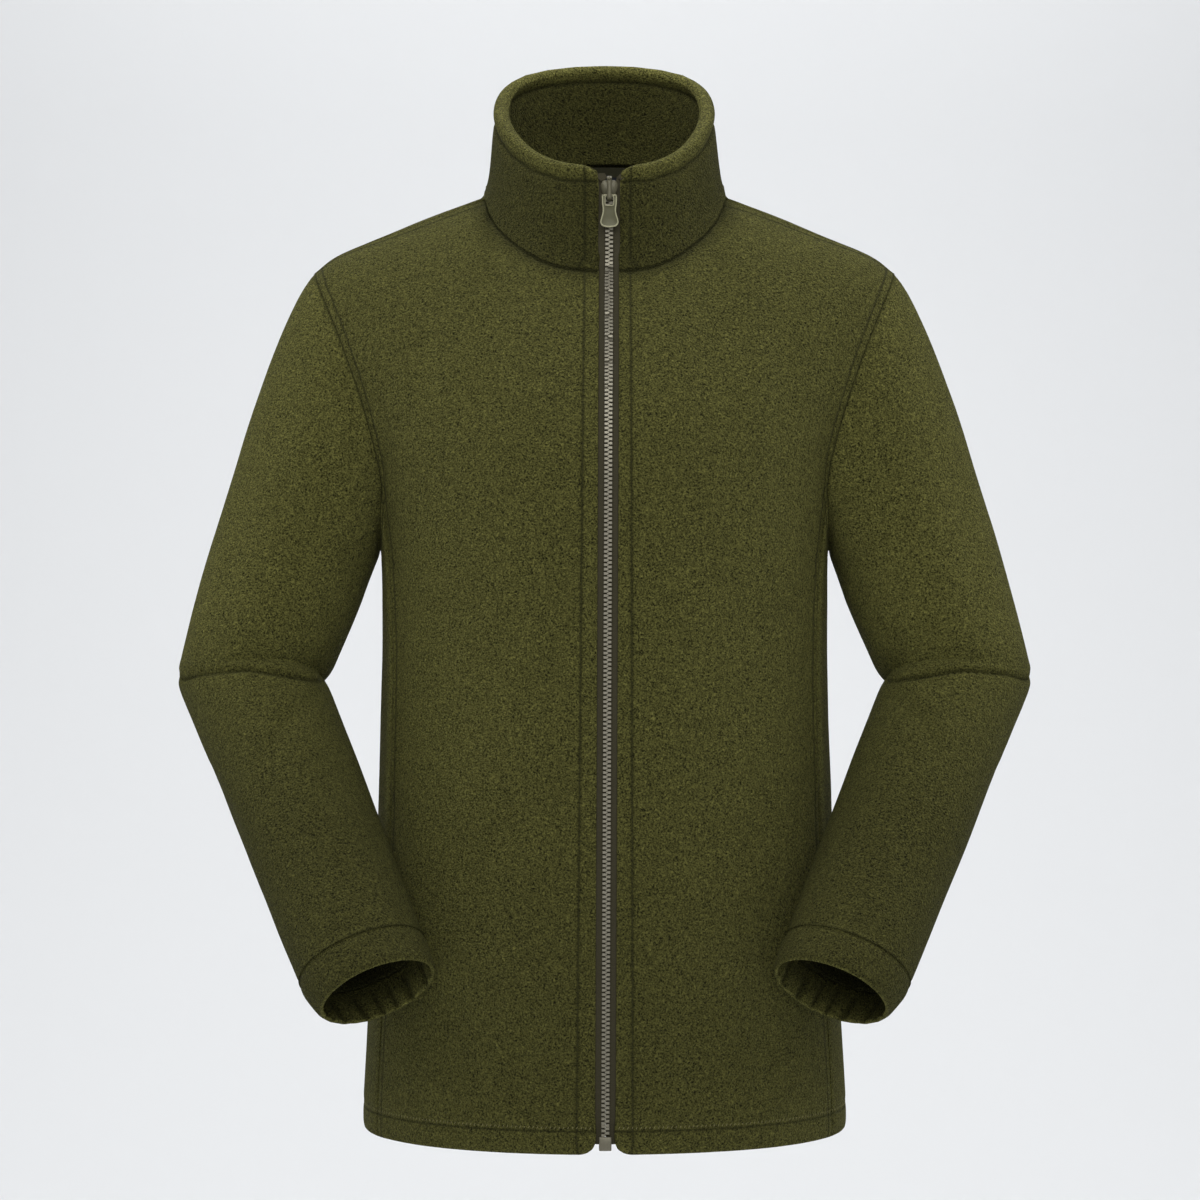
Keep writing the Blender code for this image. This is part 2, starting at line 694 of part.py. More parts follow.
def make_slider(place, metal):
    # The slider's plate with its bridge. place is the middle of the plate's back.
    body = plate("zip_slider", sliderOutline, None, sliderPlate, metal)
    body.location = place - Vector((0, sliderPlate / 2, 0))
    profile = []
    for grow, turns in ((0.0, range(bridgeSteps + 1)), (bridgeBar, range(bridgeSteps, -1, -1))):
        for i in turns:
            turn = pi * i / bridgeSteps
            ahead = (bridgeSpace + grow) * min(1.0, bridgeSquare * sin(turn))
            profile.append((-ahead, (bridgeHeight / 2 - bridgeBar + grow) * cos(turn)))
    bridge = bmesh.new()
    loops = []
    for x in (-bridgeWidth / 2, bridgeWidth / 2):
        loops.append([bridge.verts.new((x, y - sliderPlate / 2 + bridgeSink, z)) for y, z in profile])
    for i in range(len(profile)):
        j = (i + 1) % len(profile)
        bridge.faces.new([loops[0][i], loops[0][j], loops[1][j], loops[1][i]])
    bridge.faces.new(loops[0])
    bridge.faces.new(loops[1])
    tool = finish("zip_bridge", bridge, metal, smooth=False)
    tool.location = body.location
    join = body.modifiers.new("bridge", "BOOLEAN")
    join.operation = "UNION"
    join.object = tool
    cutters.objects.link(tool)
    parts.objects.unlink(tool)
    tool.hide_render = True
    tool.display_type = "WIRE"


# ---- on the inside of the neck ----

def make_neck_tape(top, below, inside, material):
    # A tape on the inner side of the back panel, along the neck seam.
    faces, backs = [], []
    for share in (neckTapeStart, neckTapeWidth):
        face, back = [], []
        for i in range(panelColumns - neckColumns, panelColumns + neckColumns + 1):
            point = mix(inside[spot(top[i])], inside[spot(below[i])], share)
            down = (point - mix(top[i], below[i], share)).normalized()
            face.append(point + down * neckTapeGap)
            back.append(point + down * (neckTapeGap + tapeCloth))
        faces.append(face)
        backs.append(back)
    wall("neck_tape", [faces], paired(faces, backs), material)


def make_neck_label(top, below, inside, material):
    # The label on the inner side of the back panel, just below the neck tape.
    middle = panelColumns
    faces, backs = [], []
    for share in (labelStart, labelLength):
        face, back = [], []
        centre = mix(inside[spot(top[middle])], inside[spot(below[middle])], share)
        down = (centre - mix(top[middle], below[middle], share)).normalized()
        for x in (labelMiddle - labelHalfWidth, labelMiddle, labelMiddle + labelHalfWidth):
            beside = middle - 1 if x > 0 else middle + 1
            other = mix(inside[spot(top[beside])], inside[spot(below[beside])], share)
            point = mix(centre, other, (x - centre.x) / (other.x - centre.x))
            face.append(point + down * neckTapeGap)
            back.append(point + down * (neckTapeGap + tapeCloth))
        faces.append(face)
        backs.append(back)
    wall("neck_label", [faces], paired(faces, backs), material)


def main():
    global parts, cutters
    for obj in list(bpy.data.objects):
        bpy.data.objects.remove(obj)
    parts = bpy.data.collections.new("fleece_jacket")
    cutters = bpy.data.collections.new("cutters")
    bpy.context.scene.collection.children.link(parts)
    bpy.context.scene.collection.children.link(cutters)
    cloth = make_material("fleece", 0.95)
    tape = make_material("tape", 0.85)
    metal = make_material("metal", 0.45, 0.8)
    dark = make_material("label", 0.8)

    front, lower, upper = body_grids()
    collar_face, collar_core = collar_columns(False)
    lining_face, lining_core = collar_columns(True)
    sleeve = closed(sleeve_grid())
    front_left = leaned(front)
    front_right = leaned(mirrored(front))
    back = [across(lower), across(upper)]
    # The back's columns run the other way round from the front's.
    back = [leaned([list(reversed(row)) for row in grid]) for grid in back]
    outer_ply = leaned(across(collar_face, seam_first=False))
    inner_ply = leaned(across(lining_face, seam_first=False))
    ply_core = leaned(across(collar_core, seam_first=False))
    lining_core = leaned(across(lining_core, seam_first=False))
    sleeve_right = mirrored(sleeve)

    normals = cloth_normals([front_left, front_right, outer_ply, sleeve, sleeve_right] + back)
    for name, grids in (("front_left", [front_left]), ("front_right", [front_right]), ("back", back),
                        ("sleeve_left", [sleeve]), ("sleeve_right", [sleeve_right])):
        wall(name, grids, lined(grids, normals), cloth)
    core = paired(outer_ply, ply_core)
    for point in outer_ply[0]:
        core[spot(point)] = point - normals[spot(point)] * fleece
    wall("collar_outer", [outer_ply], core, cloth)
    wall("collar_inner", [inner_ply], paired(inner_ply, lining_core), cloth)

    cuff_face, cuff_core = cuff_grids()
    cuff_face, cuff_core = closed(cuff_face), closed(cuff_core)
    wall("cuff_left", [cuff_face], paired(cuff_face, cuff_core), cloth)
    cuff_face, cuff_core = mirrored(cuff_face), mirrored(cuff_core)
    wall("cuff_right", [cuff_face], paired(cuff_face, cuff_core), cloth)

    inside = lined([front_left, front_right], normals)
    inside.update({key: value for key, value in core.items() if key not in inside})
    rows_left, rows_right = front_left + outer_ply[1:], front_right + outer_ply[1:]
    level = zip_level(rows_left, rows_right, inside)
    make_tape("zip_tape_left", rows_left, level, 0, 1, inside, tape)
    make_tape("zip_tape_right", rows_right, level, -1, -2, inside, tape)
    line = [[point] for point in level]
    chain = [row[0] for row in cut_rows(line, boxHigh + seamGap, sliderHeight)]
    box = [row[0] for row in cut_rows(line, boxLow, boxHigh)]
    strip("zip_teeth", chain, chainWidth, toothHeight, 0.0, metal)
    strip("zip_box", box, boxWidth, boxFace, boxBack, metal)
    place = chain[-1] - Vector((0, toothHeight + seamGap, 0))
    make_slider(place, metal)
    tab = plate("zip_pull", pullOutline, pullSlot, pullThick, metal)
    tab.location = place - Vector((0, sliderPlate + (bridgeSpace - bridgeSink) / 2, pivotDrop))

    inside = lined(back, normals)
    make_neck_tape(back[1][-1], back[1][-2], inside, tape)
    make_neck_label(back[1][-1], back[1][-2], inside, dark)


main()
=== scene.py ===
import json
from math import cos, pi, radians, sin

import bmesh
import bpy
import numpy as np
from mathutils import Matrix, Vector, noise
from mathutils.bvhtree import BVHTree
from mathutils.kdtree import KDTree


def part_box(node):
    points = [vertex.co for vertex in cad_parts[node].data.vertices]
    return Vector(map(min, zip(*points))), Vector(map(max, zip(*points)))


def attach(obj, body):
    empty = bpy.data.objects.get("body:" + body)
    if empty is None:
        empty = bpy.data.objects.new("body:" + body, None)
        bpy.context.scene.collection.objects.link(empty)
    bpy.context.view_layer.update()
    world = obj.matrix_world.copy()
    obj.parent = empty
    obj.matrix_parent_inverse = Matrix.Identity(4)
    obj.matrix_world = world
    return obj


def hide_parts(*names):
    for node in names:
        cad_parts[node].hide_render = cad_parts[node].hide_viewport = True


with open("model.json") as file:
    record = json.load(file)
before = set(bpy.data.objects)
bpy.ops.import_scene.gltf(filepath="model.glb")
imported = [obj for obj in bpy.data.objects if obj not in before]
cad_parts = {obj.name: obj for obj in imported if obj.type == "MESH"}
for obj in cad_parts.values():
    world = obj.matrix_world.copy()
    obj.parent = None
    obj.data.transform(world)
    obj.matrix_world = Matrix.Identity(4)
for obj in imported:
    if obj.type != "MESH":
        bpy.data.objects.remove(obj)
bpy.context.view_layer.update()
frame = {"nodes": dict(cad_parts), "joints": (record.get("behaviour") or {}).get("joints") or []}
nodes = frame["nodes"]
print("frame loaded:", len(nodes), "nodes")

view = {"distance": 2.4, "shownWidth": 0.888, "x": -0.0033, "z": -0.296}
room = {
    "floor": -1.25, "front": -5.0, "back": 3.4, "radius": 1.8, "top": 4.0, "halfWidth": 7.0, "steps": 16,
    "paint": (0.730, 0.742, 0.756), "skyColour": (1.0, 1.0, 1.0), "sky": 0.15,
}
lamps = {  # size, place, target, power
    "key": (1.4, (-0.15, -1.35, 1.0), (0.0, 0.0, -0.15), 18),
    "front": (2.6, (0.3, -3.2, 0.5), (0.0, 0.0, -0.25), 36),
    "sideLeft": (1.4, (-1.9, 0.4, 2.0), (-0.2, 0.0, -0.2), 46),
    "sideRight": (1.4, (1.9, 0.4, 2.0), (0.2, 0.0, -0.2), 46),
    "wall": (3.0, (0.0, 1.8, 2.6), (0.0, 3.4, -0.4), 66),
}


def makeCamera():
    data = bpy.data.cameras.new("camera")
    data.lens = data.sensor_width * view["distance"] / view["shownWidth"]
    camera = bpy.data.objects.new("camera", data)
    camera.location = (view["x"], -view["distance"], view["z"])
    camera.rotation_euler = (pi / 2, 0, 0)
    bpy.context.collection.objects.link(camera)
    bpy.context.scene.camera = camera


def makeRoom():
    profile = [(room["front"], room["floor"]), (room["back"] - room["radius"], room["floor"])]
    for i in range(1, room["steps"] + 1):
        turn = pi / 2 * i / room["steps"]
        profile.append((room["back"] - room["radius"] + room["radius"] * sin(turn),
                        room["floor"] + room["radius"] * (1 - cos(turn))))
    profile.append((room["back"], room["top"]))
    bm = bmesh.new()
    rows = [[bm.verts.new((x, y, z)) for x in (-room["halfWidth"], room["halfWidth"])] for y, z in profile]
    for low, high in zip(rows, rows[1:]):
        bm.faces.new((low[0], low[1], high[1], high[0]))
    mesh = bpy.data.meshes.new("floor")
    bm.to_mesh(mesh)
    bm.free()
    mesh.shade_smooth()
    floor = bpy.data.objects.new("floor", mesh)
    bpy.context.collection.objects.link(floor)
    paint = bpy.data.materials.new("palePaint")
    paint.use_nodes = True
    shader = paint.node_tree.nodes["Principled BSDF"]
    shader.inputs["Base Color"].default_value = (*room["paint"], 1)
    shader.inputs["Roughness"].default_value = 0.95
    shader.inputs["Specular IOR Level"].default_value = 0.1
    mesh.materials.append(paint)


def makeLight():
    world = bpy.data.worlds.new("studio")
    bpy.context.scene.world = world
    world.use_nodes = True
    sky = world.node_tree.nodes["Background"]
    sky.inputs["Color"].default_value = (*room["skyColour"], 1)
    sky.inputs["Strength"].default_value = room["sky"]
    for name, (size, place, target, power) in lamps.items():
        data = bpy.data.lights.new(name, "AREA")
        data.size = size
        data.energy = power
        lamp = bpy.data.objects.new(name, data)
        lamp.location = place
        lamp.rotation_euler = (Vector(target) - Vector(place)).to_track_quat("-Z", "Y").to_euler()
        bpy.context.collection.objects.link(lamp)


bpy.context.scene.view_settings.view_transform = "Standard"
makeCamera()
makeRoom()
makeLight()
print("camera, floor and light made")


def newGroup(name, inputs, outputs):
    group = bpy.data.node_groups.new(name, "ShaderNodeTree")
    for label, kind, value in inputs:
        socket = group.interface.new_socket(label, in_out="INPUT", socket_type=kind)
        socket.default_value = value
    for label, kind in outputs:
        group.interface.new_socket(label, in_out="OUTPUT", socket_type=kind)
    return group, group.nodes.new("NodeGroupInput"), group.nodes.new("NodeGroupOutput")


def math(tree, operation, first, second=None):
    node = tree.nodes.new("ShaderNodeMath")
    node.operation = operation
    for socket, value in zip(node.inputs, (first, second)):
        if isinstance(value, bpy.types.NodeSocket):
            tree.links.new(value, socket)
        elif value is not None:
            socket.default_value = value
    return node.outputs[0]


def blendColour(tree, share, low, high, kind="MIX"):
    node = tree.nodes.new("ShaderNodeMix")
    node.data_type = "RGBA"
    node.blend_type = kind
    for socket, value in ((node.inputs[0], share), (node.inputs[6], low), (node.inputs[7], high)):
        if isinstance(value, bpy.types.NodeSocket):
            tree.links.new(value, socket)
        else:
            socket.default_value = value
    return node.outputs[2]


def noiseAt(tree, place, scale, detail=2.0, rough=0.5, warp=0.0):
    node = tree.nodes.new("ShaderNodeTexNoise")
    node.inputs["Scale"].default_value = scale
    node.inputs["Detail"].default_value = detail
    node.inputs["Roughness"].default_value = rough
    node.inputs["Distortion"].default_value = warp
    tree.links.new(place, node.inputs["Vector"])
    return node.outputs["Fac"]


def product(tree, first, second):
    return math(tree, "MULTIPLY", first, second)


def total(tree, first, second):
    return math(tree, "ADD", first, second)


def tinted(tree, colour, tone):
    # The colour times a tone.
    shade = tree.nodes.new("ShaderNodeCombineColor")
    for socket in shade.inputs:
        tree.links.new(tone, socket)
    return blendColour(tree, 1.0, colour, shade.outputs[0], "MULTIPLY")


napForm = {  # noise scales to a metre, and the share that each has in the pile or in its tone
    "curls": 480, "curlWarp": 0.9, "curlSharp": 9.0, "curlShare": 0.22, "clumps": 860, "clumpWarp": 0.5,
    "clumpShare": 0.80, "fibres": 1500, "fibreShare": 0.14, "middle": 0.535, "drift": 9, "driftShare": 0.16,
    "patches": 46, "patchShare": 0.08, "depth": 3.0, "darkest": 0.12, "rise": 2.0,
}


def makeNapGroup():
    # Curly pile: short worm-like curls broken by small clumps, finer fibres, and slow drifts of tone, times
    # the painted light and shade that comes in.
    tree, given, result = newGroup(
        "fleeceNap",
        [("Colour", "NodeSocketColor", (0.08, 0.08, 0.03, 1)), ("Clump Height", "NodeSocketFloat", 0.0006),
         ("Contrast", "NodeSocketFloat", 0.6), ("Painted Light", "NodeSocketFloat", 1.0)],
        [("Colour", "NodeSocketColor"), ("Height", "NodeSocketFloat")])
    form = napForm
    coordinates = tree.nodes.new("ShaderNodeTexCoord").outputs["Object"]
    curls = noiseAt(tree, coordinates, form["curls"], 0.0, 0.5, form["curlWarp"])
    clumps = noiseAt(tree, coordinates, form["clumps"], 0.0, 0.5, form["clumpWarp"])
    fibres = noiseAt(tree, coordinates, form["fibres"], 1.0)
    bend = math(tree, "ABSOLUTE", math(tree, "SUBTRACT", curls, 0.5))
    ridges = math(tree, "MAXIMUM", math(tree, "SUBTRACT", 1.0, product(tree, bend, form["curlSharp"])), 0.0)
    pile = total(tree, product(tree, clumps, form["clumpShare"]), product(tree, fibres, form["fibreShare"]))
    pile = total(tree, pile, product(tree, ridges, form["curlShare"]))
    centred = math(tree, "SUBTRACT", pile, form["middle"])
    slow = 1.0
    for scale, share in (("drift", "driftShare"), ("patches", "patchShare")):
        wave = math(tree, "SUBTRACT", noiseAt(tree, coordinates, form[scale]), 0.5)
        slow = total(tree, slow, product(tree, wave, form[share]))
    depth = product(tree, given.outputs["Contrast"], form["depth"])
    tone = total(tree, product(tree, centred, depth), slow)
    # The pile's tone times the painted light and shade that the cloth carries.
    tone = product(tree, math(tree, "MAXIMUM", tone, form["darkest"]), given.outputs["Painted Light"])
    tree.links.new(tinted(tree, given.outputs["Colour"], tone), result.inputs["Colour"])
    rise = product(tree, given.outputs["Clump Height"], form["rise"])
    tree.links.new(product(tree, centred, rise), result.inputs["Height"])
    return tree


def makeLineGroup():
    # A soft groove along a line, at an offset from an edge whose distance is given in metres, and a mask
    # where painted shade darkens it.
    tree, given, result = newGroup(
        "sewnLine",
        [("Distance", "NodeSocketFloat", 1.0), ("Offset", "NodeSocketFloat", 0.006),
         ("Width", "NodeSocketFloat", 0.0016), ("Depth", "NodeSocketFloat", 0.0006)],
        [("Height", "NodeSocketFloat"), ("Mask", "NodeSocketFloat")])
    away = math(tree, "SUBTRACT", given.outputs["Distance"], given.outputs["Offset"])
    away = math(tree, "DIVIDE", away, given.outputs["Width"])
    fall = math(tree, "EXPONENT", product(tree, product(tree, away, away), -1.0))
    groove = product(tree, product(tree, fall, given.outputs["Depth"]), -1.0)
    tree.links.new(groove, result.inputs["Height"])
    tree.links.new(fall, result.inputs["Mask"])
    return tree


weaveForm = {"stripe": 0.0016, "fuzz": 900, "ribShare": 0.45, "fuzzShare": 0.5, "ground": 0.55}


def makeWeaveGroup():
    # Herringbone tape: slanting ribs that turn over from stripe to stripe.
    tree, given, result = newGroup(
        "tapeWeave",
        [("Colour", "NodeSocketColor", (0.08, 0.07, 0.03, 1)), ("Rib", "NodeSocketFloat", 0.0009),
         ("Height", "NodeSocketFloat", 0.00012)],
        [("Colour", "NodeSocketColor"), ("Height", "NodeSocketFloat")])
    form = weaveForm
    coordinates = tree.nodes.new("ShaderNodeTexCoord").outputs["Object"]
    split = tree.nodes.new("ShaderNodeSeparateXYZ")
    tree.links.new(coordinates, split.inputs[0])
    slant = math(tree, "PINGPONG", split.outputs["X"], form["stripe"])
    along = math(tree, "DIVIDE", total(tree, split.outputs["Z"], slant), given.outputs["Rib"])
    wave = math(tree, "SINE", product(tree, along, 2 * pi))
    rib = total(tree, product(tree, wave, 0.5), 0.5)
    fuzz = total(tree, product(tree, noiseAt(tree, coordinates, form["fuzz"], 2.0, 0.6), form["fuzzShare"]),
                 form["ground"])
    tone = total(tree, product(tree, rib, form["ribShare"]), fuzz)
    tree.links.new(tinted(tree, given.outputs["Colour"], tone), result.inputs["Colour"])
    tree.links.new(product(tree, rib, given.outputs["Height"]), result.inputs["Height"])
    return tree


napGroup, lineGroup, weaveGroup = makeNapGroup(), makeLineGroup(), makeWeaveGroup()


def startMaterial(name):
    material = bpy.data.materials.new(name)
    material.use_nodes = True
    return material, material.node_tree, material.node_tree.nodes["Principled BSDF"]


def placeGroup(tree, group, values):
    node = tree.nodes.new("ShaderNodeGroup")
    node.node_tree = group
    for label, value in values.items():
        node.inputs[label].default_value = value
    return node


def addBump(tree, shader, height, distance=1.0):
    bump = tree.nodes.new("ShaderNodeBump")
    bump.inputs["Strength"].default_value = 1.0
    bump.inputs["Distance"].default_value = distance
    tree.links.new(height, bump.inputs["Height"])
    tree.links.new(bump.outputs["Normal"], shader.inputs["Normal"])


fleeceLook = {
    "colour": (0.0905, 0.0872, 0.0236, 1), "clumpHeight": 0.0016, "contrast": 1.00,
    "rough": 0.95, "specular": 0.08, "sheen": 0.08, "sheenRough": 0.35, "sheenTint": (0.80, 0.80, 0.30, 1),
    # the line colour and its share: painted shade that darkens each seam's and stitching's groove
    "grooveShadeColour": (0.016, 0.016, 0.005, 1), "grooveShadeShare": 0.70,
}


def readAttribute(tree, name):
    node = tree.nodes.new("ShaderNodeAttribute")
    node.attribute_name = name
    return node.outputs["Fac"]


def makeFleece(name, lines):
    # lines: (edge name, offset, width, depth) for each sewn line or seam that the piece shows; painted shade
    # darkens each one's groove.
    material, tree, shader = startMaterial(name)
    nap = placeGroup(tree, napGroup, {
        "Colour": fleeceLook["colour"], "Clump Height": fleeceLook["clumpHeight"],
        "Contrast": fleeceLook["contrast"]})
    # The cloth's tone attribute is painted light and shade, carried into the pile's colour.
    tree.links.new(readAttribute(tree, "tone"), nap.inputs["Painted Light"])
    height, colour = nap.outputs["Height"], nap.outputs["Colour"]
    for edge, offset, width, depth in lines:
        line = placeGroup(tree, lineGroup, {"Offset": offset, "Width": width, "Depth": depth})
        tree.links.new(readAttribute(tree, edge), line.inputs["Distance"])
        height = math(tree, "ADD", height, line.outputs["Height"])
        # Painted shade: the colour darkened along the line's groove.
        share = product(tree, line.outputs["Mask"], fleeceLook["grooveShadeShare"])
        colour = blendColour(tree, share, colour, fleeceLook["grooveShadeColour"])
    tree.links.new(colour, shader.inputs["Base Color"])
    shader.inputs["Roughness"].default_value = fleeceLook["rough"]
    shader.inputs["Specular IOR Level"].default_value = fleeceLook["specular"]
    shader.inputs["Sheen Weight"].default_value = fleeceLook["sheen"]
    shader.inputs["Sheen Roughness"].default_value = fleeceLook["sheenRough"]
    shader.inputs["Sheen Tint"].default_value = fleeceLook["sheenTint"]
    addBump(tree, shader, height)
    return material


def makeWoven(name, colour, rib=0.0009, rough=0.8):
    material, tree, shader = startMaterial(name)
    weave = placeGroup(tree, weaveGroup, {"Colour": colour, "Rib": rib})
    tree.links.new(weave.outputs["Colour"], shader.inputs["Base Color"])
    shader.inputs["Roughness"].default_value = rough
    shader.inputs["Specular IOR Level"].default_value = 0.25
    shader.inputs["Sheen Weight"].default_value = 0.1
    addBump(tree, shader, weave.outputs["Height"])
    return material


def uneven(tree, mask, colour, spread):
    # The colour, darker and lighter by a share with the mask.
    low, high = (tuple(c * share for c in colour[:3]) + (1,) for share in (1 - spread, 1 + spread))
    return blendColour(tree, mask, low, high)


def makeMetal(name, colour, metallic=0.75, rough=0.38):
    # Painted alloy with faint scuffs.
    material, tree, shader = startMaterial(name)
    coordinates = tree.nodes.new("ShaderNodeTexCoord").outputs["Object"]
    scuff = noiseAt(tree, coordinates, 700, 3.0, 0.65)
    tree.links.new(uneven(tree, scuff, colour, 0.18), shader.inputs["Base Color"])
    tree.links.new(total(tree, rough - 0.08, product(tree, scuff, 0.16)), shader.inputs["Roughness"])
    shader.inputs["Metallic"].default_value = metallic
    return material


def makeThread(name, colour):
    material, tree, shader = startMaterial(name)
    coordinates = tree.nodes.new("ShaderNodeTexCoord").outputs["Object"]
    ply = noiseAt(tree, coordinates, 2600, 1.0)
    tree.links.new(uneven(tree, ply, colour, 0.3), shader.inputs["Base Color"])
    shader.inputs["Roughness"].default_value = 0.85
    shader.inputs["Specular IOR Level"].default_value = 0.15
    return material


clothNodes = ["front_left", "front_right", "back", "sleeve_left", "sleeve_right", "cuff_left", "cuff_right",
              "collar_outer", "collar_inner"]


def treeOf(points):
    tree = KDTree(len(points))
    for i, point in enumerate(points):
        tree.insert(point, i)
    tree.balance()
    return tree


cadTrees = {name: treeOf([v.co for v in nodes[name].data.vertices]) for name in clothNodes}
cadSurfaces = {}
for clothName in clothNodes + [None]:
    bm = bmesh.new()
    for piece in [clothName] if clothName else clothNodes:
        bm.from_mesh(nodes[piece].data)
    if clothName:
        cadSurfaces[clothName] = BVHTree.FromBMesh(bm)
    else:
        clothSurface = BVHTree.FromBMesh(bm)
    bm.free()


crestGap = 0.0006    # the collar's plies and sewn neighbours are closer than this


def cadMesh(names, spacing=2e-5):
    # The solids with their corners joined and their faces in quads.
    bm = bmesh.new()
    for name in names:
        bm.from_mesh(nodes[name].data)
    bmesh.ops.remove_doubles(bm, verts=bm.verts, dist=spacing)
    bmesh.ops.join_triangles(bm, faces=bm.faces, angle_face_threshold=0.9, angle_shape_threshold=pi,
                             topology_influence=1.0)
    for face in bm.faces:
        face.material_index = 0
    bm.edges.layers.float.new("crease_edge")
    return bm


def joinPlies(bm, names):
    # Joins the collar's two plies along the crest of the rolled rim.
    outer, inner = (cadTrees[name] for name in names)
    crest = [v for v in bm.verts if max(outer.find(v.co)[2], inner.find(v.co)[2]) < crestGap]
    held = set(crest)
    bmesh.ops.delete(bm, geom=[f for f in bm.faces if all(v in held for v in f.verts)], context="FACES_ONLY")
    bmesh.ops.remove_doubles(bm, verts=[v for v in crest if v.is_valid], dist=crestGap)
    bmesh.ops.recalc_face_normals(bm, faces=bm.faces)


# The sleeves' middle line, from the shoulder to the cuff, on the wearer's left.
sleeveLine = [Vector(place) for place in (
    (0.190, -0.002, -0.150), (0.2354, -0.006, -0.281), (0.2588, -0.020, -0.3556),
    (0.1600, -0.144, -0.5690), (0.1420, -0.1670, -0.6080))]


def lineSpots(points):
    # The nearest spots on the sleeves' middle line, on each point's own side, and how far they are.
    side = np.where(points[:, 0] < 0, -1.0, 1.0)
    mirror = points.copy()
    mirror[:, 0] = np.abs(mirror[:, 0])
    best, spot = np.full(len(points), 1e9), np.zeros_like(points)
    for a, b in zip(sleeveLine, sleeveLine[1:]):
        a, b = np.array(a), np.array(b)
        share = np.clip((mirror - a) @ (b - a) / ((b - a) @ (b - a)), 0, 1)
        near = a + share[:, None] * (b - a)
        away = np.linalg.norm(mirror - near, axis=1)
        closer = away < best
        spot[closer], best[closer] = near[closer], away[closer]
    spot[:, 0] *= side
    return spot, best


def facesByKind(bm, names, bend=45):
    # Tags each face with the side of the wall that it is on: 0 outside, 1 inside, and from 2 on the rims,
    # by the neighbour that the rim is sewn to, or "free". Returns the rims' names and the sharp edges.
    rims, seams = [], {}
    for face in bm.faces:
        middle = face.calc_center_median()
        for other, surface in cadSurfaces.items():
            if other not in names and surface.find_nearest(middle, crestGap)[0] is not None:
                seams[face] = other
                break
    sharp = {e for e in bm.edges if len(e.link_faces) == 2
             and (e.calc_face_angle(0) > radians(bend) or len({f in seams for f in e.link_faces}) == 2)}
    left, sheets = set(bm.faces) - set(seams), []
    while left:
        start = left.pop()
        group, queue = [start], [start]
        while queue:
            for edge in queue.pop().edges:
                if edge in sharp:
                    continue
                for face in edge.link_faces:
                    if face in left:
                        left.discard(face)
                        group.append(face)
                        queue.append(face)
        sheets.append(group)
    sheets.sort(key=lambda group: -sum(face.calc_area() for face in group))
    for order, group in enumerate(sheets):
        for face in group:
            if order < 2 or (names[0].startswith("collar") and sum(f.calc_area() for f in group) > 0.006):
                face.material_index = min(order, 1)
            else:
                seams[face] = "free"
    for face, kind in seams.items():
        if kind not in rims:
            rims.append(kind)
        face.material_index = 2 + rims.index(kind)
    if not names[0].startswith("collar"):
        sheet = [f for f in bm.faces if f.material_index == 0]
        middles = np.array([list(f.calc_center_median()) for f in sheet])
        normals = np.array([list(f.normal) for f in sheet])
        centres = lineSpots(middles)[0] if names[0].startswith(("sleeve", "cuff")) else middles * [0, 0, 1]
        if ((middles - centres) * normals).sum() < 0:
            for face in bm.faces:
                if face.material_index < 2:
                    face.material_index = 1 - face.material_index
    return rims, sharp


def subdivided(bm, sharp, levels):
    # A smooth surface on the panel's own points, with its rims kept crisp.
    crease = bm.edges.layers.float["crease_edge"]
    for edge in sharp:
        edge[crease] = 1.0
    mesh = bpy.data.meshes.new("coarse")
    bm.to_mesh(mesh)
    bm.free()
    for i in range(12):    # a slot for each kind of face, or their numbers are lost
        mesh.materials.append(None)
    obj = bpy.data.objects.new("coarse", mesh)
    bpy.context.collection.objects.link(obj)
    smooth = obj.modifiers.new("smooth", "SUBSURF")
    smooth.levels = smooth.render_levels = levels
    bpy.context.view_layer.update()
    fine = bpy.data.meshes.new_from_object(obj.evaluated_get(bpy.context.evaluated_depsgraph_get()))
    bpy.data.objects.remove(obj)
    bpy.data.meshes.remove(mesh)
    return fine


def meshArrays(mesh):
    points, normals = (np.empty(len(mesh.vertices) * 3, np.float32) for i in range(2))
    mesh.vertices.foreach_get("co", points)
    mesh.vertices.foreach_get("normal", normals)
    kinds, sizes = (np.empty(len(mesh.polygons), np.int32) for i in range(2))
    mesh.polygons.foreach_get("material_index", kinds)
    mesh.polygons.foreach_get("loop_total", sizes)
    loops = np.empty(len(mesh.loops), np.int32)
    mesh.loops.foreach_get("vertex_index", loops)
    return points.reshape(-1, 3).astype(float), normals.reshape(-1, 3).astype(float), kinds, loops, sizes


def vertsOf(chosen, loops, sizes, count):
    mask = np.zeros(count, bool)
    mask[loops[np.repeat(chosen, sizes)]] = True
    return mask


def ramp(t):
    t = np.clip(t, 0, 1)
    return t * t * (3 - 2 * t)


def hump(values, middle, width):
    return np.exp(-((values - middle) / width)**2)


def surfaceOf(mesh, chosen):
    # The mesh's chosen faces, to measure distances to.
    faces = [tuple(mesh.polygons[i].vertices) for i in np.where(chosen)[0]]
    return BVHTree.FromPolygons([v.co for v in mesh.vertices], faces)


def awayFrom(surface, points, limit=0.05):
    return np.array([surface.find_nearest(p)[3] or 0.0 for p in points]).clip(0, limit)
